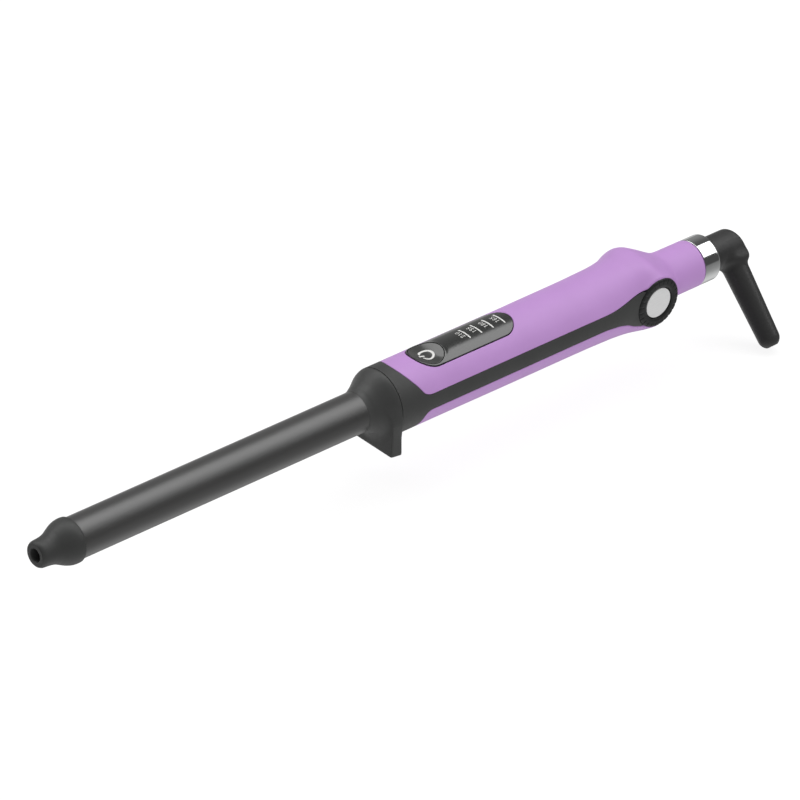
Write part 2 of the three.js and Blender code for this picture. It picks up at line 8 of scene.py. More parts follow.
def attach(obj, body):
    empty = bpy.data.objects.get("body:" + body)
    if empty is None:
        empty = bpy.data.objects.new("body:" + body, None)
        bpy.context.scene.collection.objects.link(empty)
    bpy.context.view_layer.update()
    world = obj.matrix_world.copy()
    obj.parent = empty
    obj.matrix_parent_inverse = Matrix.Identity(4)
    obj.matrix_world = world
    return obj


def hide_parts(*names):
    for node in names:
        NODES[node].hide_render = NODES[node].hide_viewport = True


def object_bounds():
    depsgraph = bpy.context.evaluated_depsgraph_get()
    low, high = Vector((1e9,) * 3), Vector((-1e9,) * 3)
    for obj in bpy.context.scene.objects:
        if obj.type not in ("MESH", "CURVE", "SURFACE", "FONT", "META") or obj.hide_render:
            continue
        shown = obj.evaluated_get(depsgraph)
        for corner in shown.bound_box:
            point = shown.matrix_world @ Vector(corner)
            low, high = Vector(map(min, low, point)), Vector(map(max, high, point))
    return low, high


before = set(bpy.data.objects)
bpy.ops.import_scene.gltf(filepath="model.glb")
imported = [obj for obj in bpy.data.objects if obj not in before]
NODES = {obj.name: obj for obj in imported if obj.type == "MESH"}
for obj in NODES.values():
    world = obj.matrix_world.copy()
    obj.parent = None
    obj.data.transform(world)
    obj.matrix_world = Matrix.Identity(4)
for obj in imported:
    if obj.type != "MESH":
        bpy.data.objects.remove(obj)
CAD_LO, CAD_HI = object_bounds()

# ------------------------------------------------------------------ placement
# shapes are drawn in millimetres from the wand's axis, x along it, z up
AXIS_X, AXIS_Z = -0.4, 19.5


def place(v):
    v = np.asarray(v, float)
    return (v + np.array([AXIS_X, 0.0, AXIS_Z])) * 0.001


# ------------------------------------------------------------------ mesh maker
class Mesh:
    """Collects batches of vertices, faces and corner normals, then welds them into one mesh."""

    def __init__(self):
        self.v, self.n, self.f, self.m = [], [], [], []
        self.count = 0

    def add(self, v, faces, n=None, material=0):
        v = np.asarray(v, float).reshape(-1, 3)
        faces = np.asarray(faces, int)
        if faces.shape[1] == 3:
            faces = np.hstack([faces, -np.ones((len(faces), 1), int)])
        n = np.full((len(v), 3), np.nan) if n is None else np.asarray(n, float).reshape(-1, 3)
        self.v.append(v)
        self.n.append(n)
        self.f.append(np.where(faces >= 0, faces + self.count, -1))
        self.m.append(np.full(len(faces), material))
        self.count += len(v)

    def mirror(self):
        """Adds the mirror image of everything in y."""
        v = np.vstack(self.v)
        n = np.vstack(self.n)
        f = np.vstack(self.f)
        m = np.concatenate(self.m)
        v2, n2 = v * [1, -1, 1], n * [1, -1, 1]
        quad = f[:, 3] >= 0
        f2 = f.copy()
        f2[quad] = f[quad][:, ::-1]
        f2[~quad, :3] = f[~quad][:, [2, 1, 0]]
        f2 = np.where(f2 >= 0, f2 + len(v), -1)
        self.v, self.n, self.f, self.m = [v, v2], [n, n2], [f, f2], [m, m]
        self.count = 2 * len(v)

    def build(self, name, body, materials, replaces=(), angle=42.0, weld=2e-4):
        v = np.vstack(self.v)
        n = np.vstack(self.n)
        f = np.vstack(self.f)
        mi = np.concatenate(self.m)
        key = np.round(v / weld).astype(np.int64)
        _, first, inv = np.unique(key, axis=0, return_index=True, return_inverse=True)
        inv = inv.reshape(-1)
        wv = v[first]
        polys, corner_n, pm = [], [], []
        for row, k in zip(f, mi):
            raw = [i for i in row if i >= 0]
            keep_v, keep_i = [], []
            for i in raw:
                w = int(inv[i])
                if keep_v and keep_v[-1] == w:
                    continue
                keep_v.append(w)
                keep_i.append(i)
            if len(keep_v) > 1 and keep_v[0] == keep_v[-1]:
                keep_v.pop()
                keep_i.pop()
            if len(set(keep_v)) < 3 or len(set(keep_v)) != len(keep_v):
                continue
            polys.append(keep_v)
            corner_n.append(keep_i)
            pm.append(k)
        total = np.array([len(p) for p in polys])
        start = np.concatenate([[0], np.cumsum(total)[:-1]])
        loops = np.concatenate([np.array(p) for p in polys])
        src = np.concatenate([np.array(p) for p in corner_n])
        # face normals by Newell
        fid = np.repeat(np.arange(len(polys)), total)
        nxt = np.arange(len(loops)) + 1
        nxt[start + total - 1] = start
        a, b = wv[loops], wv[loops[nxt]]
        cr = np.cross(a, b)
        fn = np.zeros((len(polys), 3))
        np.add.at(fn, fid, cr)
        fn *= 0.5
        area = np.linalg.norm(fn, axis=1)
        unit = fn / np.maximum(area, 1e-12)[:, None]
        given = n[src]
        has = ~np.isnan(given[:, 0])
        g = np.where(has[:, None], given, 0)
        mean = np.zeros((len(polys), 3))
        np.add.at(mean, fid, g)
        flip = (mean * unit).sum(1) < 0
        # reverse the corners of flipped faces
        order = np.arange(len(loops))
        for p in np.nonzero(flip)[0]:
            s, t = start[p], total[p]
            order[s : s + t] = order[s : s + t][::-1]
        loops, given, has = loops[order], given[order], has[order]
        unit[flip] *= -1
        # corner normals where none was given: area-weighted over the smooth neighbours
        out = np.where(has[:, None], np.nan_to_num(given), 0.0)
        need = np.nonzero(~has)[0]
        if len(need):
            by_v = np.argsort(loops, kind="stable")
            lv = loops[by_v]
            starts = np.searchsorted(lv, np.arange(len(wv)))
            ends = np.searchsorted(lv, np.arange(len(wv)), side="right")
            limit = math.cos(math.radians(angle))
            deg = (ends - starts)[loops[need]]
            acc = np.zeros((len(need), 3))
            for k in range(int(deg.max())):
                ok = deg > k
                c = by_v[np.minimum(starts[loops[need]] + k, len(by_v) - 1)]
                other = fid[c]
                d = (unit[other] * unit[fid[need]]).sum(1)
                w = np.where(ok & (d > limit), area[other], 0.0)
                acc += unit[other] * w[:, None]
            out[need] = acc
        ln = np.linalg.norm(out, axis=1)
        bad = ln < 1e-9
        out[bad] = unit[fid[bad]]
        out /= np.maximum(np.linalg.norm(out, axis=1), 1e-12)[:, None]
        me = bpy.data.meshes.new(name)
        me.vertices.add(len(wv))
        me.vertices.foreach_set("co", place(wv).astype(np.float32).ravel())
        me.loops.add(len(loops))
        me.loops.foreach_set("vertex_index", loops.astype(np.int32))
        me.polygons.add(len(polys))
        me.polygons.foreach_set("loop_start", start.astype(np.int32))
        me.polygons.foreach_set("loop_total", total.astype(np.int32))
        me.polygons.foreach_set("material_index", np.array(pm, np.int32))
        me.polygons.foreach_set("use_smooth", np.ones(len(polys), bool))
        me.update(calc_edges=True)
        if me.validate(verbose=False):
            print("validate changed", name)
        if len(me.loops) == len(out):
            me.normals_split_custom_set(out.astype(np.float32).tolist())
        ob = bpy.data.objects.new(name, me)
        bpy.context.scene.collection.objects.link(ob)
        for m in materials if isinstance(materials, (list, tuple)) else [materials]:
            me.materials.append(m)
        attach(ob, body)
        if replaces:
            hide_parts(*replaces)
        edges = {}
        for p in polys:
            for i in range(len(p)):
                e = (min(p[i], p[i - 1]), max(p[i], p[i - 1]))
                edges[e] = edges.get(e, 0) + 1
        odd = [e for e, c in edges.items() if c != 2]
        if odd:
            q = wv[[i for e in odd for i in e]]
            print(name, "odd edges", len(odd), q.min(0).round(2), q.max(0).round(2))
        return ob


def grid_faces(rows, cols, wrap_rows=False, wrap_cols=False):
    r = np.arange(rows if wrap_rows else rows - 1)
    c = np.arange(cols if wrap_cols else cols - 1)
    R, C = np.meshgrid(r, c, indexing="ij")
    R2, C2 = (R + 1) % rows, (C + 1) % cols
    return np.stack([R * cols + C, R * cols + C2, R2 * cols + C2, R2 * cols + C], -1).reshape(-1, 4)


def grid_normals(p, wrap_rows, wrap_cols):
    def diff(a, axis, wrap):
        if wrap:
            return np.roll(a, -1, axis) - np.roll(a, 1, axis)
        return np.gradient(a, axis=axis)

    n = np.cross(diff(p, 0, wrap_rows), diff(p, 1, wrap_cols))
    return n / np.maximum(np.linalg.norm(n, axis=-1, keepdims=True), 1e-12)


# ------------------------------------------------------------------- profiles
def rounded(points, closed=True, steps=4):
    """(p, q, fillet) corners to points and outward normals. Fillet 0 is a smooth point of a curve."""
    pts = np.array([[a, b] for a, b, _ in points], float)
    fr = [c for _, _, c in points]
    n = len(pts)
    area = 0.5 * np.sum(pts[:, 0] * np.roll(pts[:, 1], -1) - np.roll(pts[:, 0], -1) * pts[:, 1])
    sign = 1.0 if area > 0 else -1.0

    def seg(i, j):
        d = pts[j] - pts[i]
        ln = np.linalg.norm(d)
        d = d / max(ln, 1e-12)
        return d, np.array([d[1], -d[0]]) * sign, ln

    P, N = [], []
    for i in range(n):
        if not closed and i in (0, n - 1):
            d, nn, _ = seg(0, 1) if i == 0 else seg(n - 2, n - 1)
            P.append(pts[i])
            N.append(nn)
            continue
        d1, n1, l1 = seg((i - 1) % n, i)
        d2, n2, l2 = seg(i, (i + 1) % n)
        if fr[i] <= 0:
            P.append(pts[i])
            m = n1 * l2 + n2 * l1
            N.append(m / max(np.linalg.norm(m), 1e-12))
            continue
        turn = math.atan2(d1[0] * d2[1] - d1[1] * d2[0], float(d1 @ d2))
        if abs(turn) < 1e-3:
            P.append(pts[i])
            N.append(n1)
            continue
        t = min(fr[i] * math.tan(abs(turn) / 2), 0.46 * l1, 0.46 * l2)
        r = t / math.tan(abs(turn) / 2)
        a = pts[i] - d1 * t
        convex = turn * sign > 0
        centre = a - n1 * r if convex else a + n1 * r
        for k in range(steps + 1):
            ang = turn * k / steps
            c, s = math.cos(ang), math.sin(ang)
            nk = np.array([n1[0] * c - n1[1] * s, n1[0] * s + n1[1] * c])
            P.append(centre + nk * r if convex else centre - nk * r)
            N.append(nk)
    return np.array(P), np.array(N)


def curve_points(knots, step):
    """Catmull-Rom through knots, as (p, q, 0) points about step apart."""
    k = np.array(knots, float)
    ext = np.vstack([2 * k[0] - k[1], k, 2 * k[-1] - k[-2]])
    out = []
    for i in range(len(k) - 1):
        p0, p1, p2, p3 = ext[i : i + 4]
        t0 = 0.0
        t1 = t0 + math.sqrt(np.linalg.norm(p1 - p0))
        t2 = t1 + math.sqrt(np.linalg.norm(p2 - p1))
        t3 = t2 + math.sqrt(np.linalg.norm(p3 - p2))
        m = max(1, int(math.ceil(np.linalg.norm(p2 - p1) / step)))
        for j in range(m):
            t = t1 + (t2 - t1) * j / m
            a1 = (t1 - t) / (t1 - t0) * p0 + (t - t0) / (t1 - t0) * p1
            a2 = (t2 - t) / (t2 - t1) * p1 + (t - t1) / (t2 - t1) * p2
            a3 = (t3 - t) / (t3 - t2) * p2 + (t - t2) / (t3 - t2) * p3
            b1 = (t2 - t) / (t2 - t0) * a1 + (t - t0) / (t2 - t0) * a2
            b2 = (t3 - t) / (t3 - t1) * a2 + (t - t1) / (t3 - t1) * a3
            c = (t2 - t) / (t2 - t1) * b1 + (t - t1) / (t2 - t1) * b2
            out.append((c[0], c[1], 0))
    out.append((k[-1][0], k[-1][1], 0))
    return out


X_AXIS = (np.zeros(3), np.array([1.0, 0, 0]), np.array([0, 0, 1.0]), np.array([0, -1.0, 0]))


def lathe(mesh, profile, axis=X_AXIS, segments=128, closed=True, steps=4, material=0, split=None):
    origin, A, E1, E2 = axis
    P, N = rounded(profile, closed, steps)
    pole = P[:, 1] < 1e-9
    N[pole] = np.stack([np.where(N[pole, 0] < 0, -1.0, 1.0), np.zeros(pole.sum())], -1)
    if split:
        P2, N2 = [], []
        m = len(P)
        for i in range(m if closed else m - 1):
            j = (i + 1) % m
            k = max(1, int(math.ceil(np.linalg.norm(P[j] - P[i]) / split)))
            for t in range(k):
                w = t / k
                P2.append(P[i] * (1 - w) + P[j] * w)
                nn = N[i] * (1 - w) + N[j] * w
                N2.append(nn / max(np.linalg.norm(nn), 1e-12))
        if not closed:
            P2.append(P[-1])
            N2.append(N[-1])
        P, N = np.array(P2), np.array(N2)
    th = np.linspace(0, 2 * np.pi, segments, endpoint=False)
    rad = np.cos(th)[:, None, None] * E1 + np.sin(th)[:, None, None] * E2
    V = origin + P[None, :, 0, None] * A + P[None, :, 1, None] * rad
    NN = N[None, :, 0, None] * A + N[None, :, 1, None] * rad
    mesh.add(V, grid_faces(segments, len(P), True, closed), NN, material)
    return V


def y_axis(x, z, side=-1.0):
    return (np.array([x, 0.0, z]), np.array([0, side, 0.0]), np.array([1.0, 0, 0]), np.array([0, 0, 1.0]))


def z_axis(x, y):
    return (np.array([x, y, 0.0]), np.array([0, 0, 1.0]), np.array([1.0, 0, 0]), np.array([0, 1.0, 0]))


# ------------------------------------------------------------- handle surface
def table(knots, sigma=1.2):
    xs = np.arange(0.0, 200.01, 0.1)
    k = np.array(knots, float)
    h = np.diff(k[:, 0])
    d = np.diff(k[:, 1]) / h
    m = np.zeros(len(k))
    for i in range(1, len(k) - 1):
        m[i] = 0 if d[i - 1] * d[i] <= 0 else 2 * d[i - 1] * d[i] / (d[i - 1] + d[i])
    i = np.clip(np.searchsorted(k[:, 0], xs) - 1, 0, len(k) - 2)
    t = np.clip((xs - k[i, 0]) / h[i], 0, 1)
    y = (
        (2 * t**3 - 3 * t**2 + 1) * k[i, 1]
        + (t**3 - 2 * t**2 + t) * h[i] * m[i]
        + (3 * t**2 - 2 * t**3) * k[i + 1, 1]
        + (t**3 - t**2) * h[i] * m[i + 1]
    )
    s = int(4 * sigma / 0.1)
    w = np.exp(-0.5 * (np.arange(-s, s + 1) * 0.1 / sigma) ** 2)
    w /= w.sum()
    y = np.convolve(np.pad(y, s, mode="edge"), w, mode="valid")
    return lambda x: np.interp(x, xs, y)


half_width = table([[3, 16.05], [159.1, 16.05], [161.6, 15.6], [164.1, 14.8], [166.6, 13.8], [169.1, 12.75], [171.6, 11.65], [173.4, 11.05], [176.4, 11.0], [193, 11.0]], 0.9)
top_height = table([[3, 16.05], [82, 16.05], [93, 16.22], [106, 16.32], [120, 16.48], [134.1, 17.05], [139.1, 17.1], [141.6, 17.22], [144.1, 17.38], [146.6, 17.46], [149.1, 17.74], [151.6, 18.06], [154.1, 18.42], [156.6, 18.25], [159.1, 17.4], [161.6, 16.1], [164.1, 14.85], [166.6, 13.6], [169.1, 12.4], [171.6, 11.35], [172.8, 11.02], [176.4, 11.0], [193, 11.0]], 0.9)
bot_height = table([[3, 16.05], [40, 16.1], [62, 16.25], [85, 16.3], [105, 16.3], [120, 16.4], [134.1, 16.85], [141.6, 16.95], [149.1, 16.97], [154.1, 17.17], [156.6, 17.2], [159.1, 16.65], [161.6, 15.65], [164.1, 14.6], [166.6, 13.4], [169.1, 12.1], [171.6, 11.35], [174.1, 11.05], [176.4, 11.0], [193, 11.0]])
power = table([[3, 2], [134.1, 2], [139.1, 2.08], [144.1, 2.22], [149.1, 2.55], [154.1, 2.95], [157.1, 3.05], [161.1, 2.85], [165.1, 2.6], [170.1, 2.3], [176.1, 2], [193, 2]])

U = 16.0  # mm of outline coordinate for each radian round the axis


def radius(x, phi):
    s, c = np.abs(np.sin(phi)), np.cos(phi)
    h = np.where(c >= 0, top_height(x), bot_height(x))
    n, w = power(x), half_width(x)
    return ((s / w) ** n + (np.abs(c) / h) ** n) ** (-1 / n)


def surface(x, u, lift=None):
    """Points, unit normals and unit tangents of the handle's outer form at (x, u)."""
    x, phi = np.asarray(x, float), np.asarray(u, float) / U

    def pos(x, phi):
        r = radius(x, phi)
        if lift is not None:
            r = r + lift(x, -r * np.sin(phi))
        y, z = r * np.sin(phi), r * np.cos(phi)
        return np.stack([x, -y - flare(x, y, z), z], -1)

    e, f = 0.05, 0.003
    p = pos(x, phi)
    px = pos(x + e, phi) - pos(x - e, phi)
    pf = pos(x, phi + f) - pos(x, phi - f)
    n = np.cross(pf, px)
    n /= np.linalg.norm(n, axis=-1, keepdims=True)
    px /= np.linalg.norm(px, axis=-1, keepdims=True)
    pf /= np.linalg.norm(pf, axis=-1, keepdims=True)
    return p, n, px, pf


DIAL_X, DIAL_Z = 157.6, 0.3
WELL_R = 12.3
_a = np.radians(np.arange(0, 361, 3.0))


def _well_rise():
    """How far the form is drawn out sideways at the rim of the dial's well, by angle."""
    x, z = DIAL_X + WELL_R * np.cos(_a), DIAL_Z + WELL_R * np.sin(_a)
    lo, hi = np.full(len(x), 0.0), np.full(len(x), np.pi)
    for _ in range(50):
        m = (lo + hi) / 2
        high = radius(x, m) * np.cos(m) > z
        lo, hi = np.where(high, m, lo), np.where(high, hi, m)
    depth = radius(x, lo) * np.sin(lo)
    off = np.abs((np.degrees(_a) + 180) % 360 - 180)
    want = 14.2 + 1.85 * smooth_step(off, 12, 62)
    rise = np.maximum(want - depth, 0)
    w = np.exp(-0.5 * (np.arange(-8, 9) / 3.0) ** 2)
    return np.convolve(np.pad(rise[:-1], 8, mode="wrap"), w / w.sum(), "valid")


def flare(x, y, z):
    dx, dz = x - DIAL_X, z - DIAL_Z
    rho = np.hypot(dx, dz)
    ang = np.arctan2(dz, dx) % (2 * np.pi)
    rise = np.interp(ang, _a[:-1], RISE, period=2 * np.pi)
    fade = 2.1 + 0.9 * np.clip(np.cos(ang), 0, 1)
    return rise * np.exp(-np.maximum(rho - WELL_R, -1.0) / fade) * smooth_step(np.abs(y), 0.5, 6.0)


def phi_from_z(x, z):
    lo, hi = np.zeros_like(x), np.full_like(x, np.pi)
    for _ in range(50):
        mid = (lo + hi) / 2
        high = radius(x, mid) * np.cos(mid) > z
        lo, hi = np.where(high, mid, lo), np.where(high, hi, mid)
    return (lo + hi) / 2


def phi_from_y(x, y):
    lo, hi = np.zeros_like(x), np.full_like(x, np.pi / 2)
    for _ in range(50):
        mid = (lo + hi) / 2
        low = radius(x, mid) * np.sin(mid) < np.abs(y)
        lo, hi = np.where(low, mid, lo), np.where(low, hi, mid)
    return (lo + hi) / 2


def smooth_step(x, a, b):
    t = np.clip((x - a) / (b - a), 0, 1)
    return t * t * (3 - 2 * t)


RISE = _well_rise()


def xz_chain(points):
    p = dense(np.array(points, float), 0.15)
    return np.stack([p[:, 0], phi_from_z(p[:, 0], p[:, 1]) * U], -1)


def xy_chain(points):
    p = dense(np.array(points, float), 0.15)
    return np.stack([p[:, 0], phi_from_y(p[:, 0], p[:, 1]) * U], -1)


def dense(p, step):
    out = []
    for a, b in zip(p[:-1], p[1:]):
        k = max(1, int(math.ceil(np.linalg.norm(b - a) / step)))
        out += [a + (b - a) * i / k for i in range(k)]
    out.append(p[-1])
    return np.array(out)


def resample(p, step):
    d = np.concatenate([[0], np.cumsum(np.linalg.norm(np.diff(p, axis=0), axis=1))])
    k = max(2, int(round(d[-1] / step)) + 1)
    t = np.linspace(0, d[-1], k)
    return np.stack([np.interp(t, d, p[:, 0]), np.interp(t, d, p[:, 1])], -1)


def soften(p, sigma, ends=("seam", "fixed")):
    """Gaussian smoothing of an outline. At a seam end the outline meets its mirror image."""
    p = resample(p, 0.2)
    s = int(4 * sigma / 0.2)
    w = np.exp(-0.5 * (np.arange(-s, s + 1) * 0.2 / sigma) ** 2)
    w /= w.sum()

    def pad(side):
        part = p[1 : s + 1][::-1] if side == 0 else p[-s - 1 : -1][::-1]
        end = p[0] if side == 0 else p[-1]
        if ends[side] == "seam":
            return np.stack([part[:, 0], 2 * end[1] - part[:, 1]], -1)
        return 2 * end - part

    q = np.vstack([pad(0), p, pad(1)])
    return np.stack([np.convolve(q[:, 0], w, "valid"), np.convolve(q[:, 1], w, "valid")], -1)


def patch(mesh, segments, thickness, fillet, hx, hu, lift=None, steps=4, spacing=0.8, material=0):
    """One half of a shell over the closed outline given by its segments of (x, u) points.
    Edges get a fillet, a wall and a back; seams join the mirror image."""
    pts, kinds = [], []
    for kind, p in segments:
        p = resample(np.array(p, float), spacing if kind == "edge" else hx)
        pts.append(p[:-1])
        kinds += [kind] * (len(p) - 1)
    pts = np.vstack(pts)
    n = len(pts)
    nxt = np.roll(pts, -1, 0)
    area = 0.5 * np.sum(pts[:, 0] * nxt[:, 1] - nxt[:, 0] * pts[:, 1])
    sign = 1.0 if area > 0 else -1.0
    d = nxt - pts
    d /= np.linalg.norm(d, axis=1, keepdims=True)
    en = np.stack([-d[:, 1], d[:, 0]], -1) * sign  # inward normal of the edge after each point
    m = np.zeros((n, 2))
    scale = np.zeros(n)
    for i in range(n):
        a, b = kinds[i - 1], kinds[i]
        if a == "seam" and b == "seam":
            continue
        if a == "edge" and b == "edge":
            v = en[i - 1] + en[i]
            v /= np.linalg.norm(v)
            m[i], scale[i] = v, 1 / max(float(v @ en[i]), 0.45)
        else:
            e = en[i - 1] if a == "edge" else en[i]
            v = np.array([1.0 if e[0] > 0 else -1.0, 0.0])
            m[i], scale[i] = v, 1 / max(float(v @ e), 0.45)
    r = fillet(pts[:, 0], pts[:, 1]) if callable(fillet) else np.full(n, float(fillet))
    T = thickness(pts[:, 0]) if callable(thickness) else np.full(n, float(thickness))
    # the fillet shrinks towards a sharp corner, so that it never folds over itself
    along = np.concatenate([[0], np.cumsum(np.linalg.norm(np.roll(pts, -1, 0) - pts, axis=1))])
    for i in range(n):
        if kinds[i - 1] == "edge" and kinds[i] == "edge":
            turn = math.atan2(float(d[i - 1][0] * d[i][1] - d[i - 1][1] * d[i][0]), float(d[i - 1] @ d[i])) * sign
            if turn > math.radians(32):
                gap = np.abs(along[:n] - along[i])
                gap = np.minimum(gap, along[n] - gap)
                r = np.minimum(r, 0.04 + 0.8 * gap * math.tan((math.pi - turn) / 2))
    inset = pts + m * (r * scale)[:, None]
    # inside points
    lo, hi = inset.min(0), inset.max(0)
    gx = np.arange(lo[0] + hx * 0.5, hi[0], hx) if not callable(hx) else None
    gu = np.arange(lo[1] + hu * 0.5, hi[1], hu)
    G = np.stack(np.meshgrid(gx, gu, indexing="ij"), -1).reshape(-1, 2)
    A, B = inset, np.roll(inset, -1, 0)
    inside = np.zeros(len(G), bool)
    for a, b in zip(A, B):
        c = (a[1] > G[:, 1]) != (b[1] > G[:, 1])
        if c.any():
            xx = (b[0] - a[0]) * (G[:, 1] - a[1]) / (b[1] - a[1] + 1e-30) + a[0]
            inside ^= c & (G[:, 0] < xx)
    G = G[inside]
    near = np.full(len(G), 1e9)
    for a, b in zip(A, B):
        ab = b - a
        t = np.clip(((G - a) @ ab) / max(float(ab @ ab), 1e-12), 0, 1)
        near = np.minimum(near, np.linalg.norm(G - a - t[:, None] * ab, axis=1))
    G = G[near > 0.45 * min(hx, hu)]
    allp = np.vstack([inset, G])
    edges = [(i, (i + 1) % n) for i in range(n)]
    res = delaunay_2d_cdt([Vector(p) for p in allp], edges, [], 1, 1e-6)
    cv = np.array([[v.x, v.y] for v in res[0]])
    orig = res[3]
    index = np.full(len(allp), -1)
    for k, o in enumerate(orig):
        for j in o:
            index[j] = k
    cv[index[index >= 0]] = allp[index >= 0]
    tri = np.array([f for f in res[2] if len(f) == 3], int)
    if (index[:n] < 0).any():
        print("patch: lost outline points")
    P, N, PX, PF = surface(cv[:, 0], cv[:, 1], lift)
    mesh.add(P, tri, N, material)
    depth = thickness(cv[:, 0]) if callable(thickness) else thickness
    depth = np.full(len(cv), depth) if np.isscalar(depth) else depth
    back = P - N * depth[:, None]
    # fillet rows
    rows, rn = [], []
    for k in range(steps + 1):
        a = math.pi / 2 * k / steps
        q = pts + m * (r * scale * (1 - math.sin(a)))[:, None]
        p, nn, px, pf = surface(q[:, 0], q[:, 1], lift)
        out = -(px * m[:, :1] + pf * m[:, 1:])
        out -= nn * (out * nn).sum(1, keepdims=True)
        out /= np.maximum(np.linalg.norm(out, axis=1, keepdims=True), 1e-9)
        rows.append(p - nn * (r * (1 - math.cos(a)))[:, None])
        rn.append(nn * math.cos(a) + out * math.sin(a))
    base_p, base_n = surface(pts[:, 0], pts[:, 1], lift)[:2]
    wall = base_p - base_n * T[:, None]
    rows.append(wall)
    rn.append(rn[-1])
    # the back's rim uses the same points as the back
    ring = back[index[:n]]
    ring_n = -N[index[:n]]
    E = [i for i in range(n) if kinds[i] == "edge"]

    def strip(p1, n1, p2, n2):
        v = np.vstack([p1, p2])
        nn = np.vstack([n1, n2])
        mesh.add(v, [(i, (i + 1) % n, n + (i + 1) % n, n + i) for i in E], nn, material)

    rows[0] = P[index[:n]]
    for k in range(len(rows) - 1):
        strip(rows[k], rn[k], rows[k + 1], rn[k + 1])
    strip(rows[-1], ring_n, ring, ring_n)
    mesh.add(back, tri, -N, material)


# ---------------------------------------------------------------- side outline


def arc(cx, cy, r, a0, a1, n=40):
    a = np.radians(np.linspace(a0, a1, n))
    return [[cx + r * math.cos(t), cy + r * math.sin(t)] for t in a]


def upper_line(g, circle_r, end_angle=None):
    """Edge of the black frame from the top seam, round the front, along the strip to the dial."""
    zs = [6.6, 10.2, 13.3, 15.3, 16.2, 18.0]
    xs = [16.5 + g, 14.0 + g, 11.3 + g, 9.55 + g, 8.65 + g, 7.85 + g]
    phi = np.linspace(0, 1.14, 120)
    z = 16.05 * np.cos(phi)
    front = np.stack([np.interp(z, zs, xs), phi * U], -1)
    front = front[z > 6.6]
    pts = [[16.5 + g, 6.6], [18.1 + g, 5.5 + g], [20.1 + g, 4.95 + g], [126, 4.95 + g], [130.5, 5.2 + g], [134.5, 5.7 + g], [138.5, 6.5 + g], [142.2, 7.6 + g]]
    if end_angle is None:
        pts += arc(DIAL_X, DIAL_Z, circle_r, 128, 127.5, 2)[:1]
    else:
        pts += arc(DIAL_X, DIAL_Z, circle_r, 126, end_angle, 90)
    return np.vstack([front, xz_chain(pts)])


def lower_line(g, circle_r, end_angle=None):
    zs = [-20.0, -16.2, -12.5, -9.6, -5.6]
    xs = [10.4 + g, 12.3 + g, 14.55 + g, 15.75 + g, 16.85 + g]
    phi = np.linspace(np.pi, 1.9, 120)
    z = 16.05 * np.cos(phi)
    front = np.stack([np.interp(z, zs, xs), phi * U], -1)
    front = front[z < -5.6]
    pts = [[16.85 + g, -5.6], [17.95 + g, -3.55 - g], [20.1 + g, -2.5 - g], [126, -2.5 - g], [134.8, -3.6 - g], [140.5, -5.45 - g], [144.9, -8.0 - g]]
    if end_angle is None:
        pts += arc(DIAL_X, DIAL_Z, circle_r, 232, 232.5, 2)[:1]
    else:
        pts += arc(DIAL_X, DIAL_Z, circle_r, 236, end_angle, 60)
    return np.vstack([front, xz_chain(pts)])


SOFT = 0.55
SEAM_TOP, SEAM_BOTTOM = 0.0, math.pi * U


def stadium_half(grow, x0=20.9, x1=79.0, hw=9.1):
    """From the rear end to the front end of the window, on the -Y side, in (x, y)."""
    r = hw + grow
    return arc(x1 - hw, 0, r, 0, -90, 30) + arc(x0 + hw, 0, r, -90, -180, 30)


# ================================================================== materials
def new_material(name):
    m = bpy.data.materials.new(name)
    m.use_nodes = True
    nt = m.node_tree
    nt.nodes.clear()
    out = nt.nodes.new("ShaderNodeOutputMaterial")
    bsdf = nt.nodes.new("ShaderNodeBsdfPrincipled")
    nt.links.new(bsdf.outputs[0], out.inputs[0])
    coord = nt.nodes.new("ShaderNodeTexCoord")
    return m, nt, bsdf, coord


def noise(nt, vec, scale, detail=2.0, rough=0.5):
    n = nt.nodes.new("ShaderNodeTexNoise")
    n.inputs["Scale"].default_value = scale
    n.inputs["Detail"].default_value = detail
    n.inputs["Roughness"].default_value = rough
    nt.links.new(vec, n.inputs["Vector"])
    return n.outputs["Fac"]


def remap(nt, value, lo, hi, a=0.3, b=0.7):
    n = nt.nodes.new("ShaderNodeMapRange")
    n.inputs["From Min"].default_value = a
    n.inputs["From Max"].default_value = b
    n.inputs["To Min"].default_value = lo
    n.inputs["To Max"].default_value = hi
    nt.links.new(value, n.inputs["Value"])
    return n.outputs["Result"]


def mix_colour(nt, fac, a, b):
    n = nt.nodes.new("ShaderNodeMix")
    n.data_type = "RGBA"
    n.inputs["A"].default_value = (*a, 1)
    n.inputs["B"].default_value = (*b, 1)
    nt.links.new(fac, n.inputs["Factor"])
    return n.outputs["Result"]


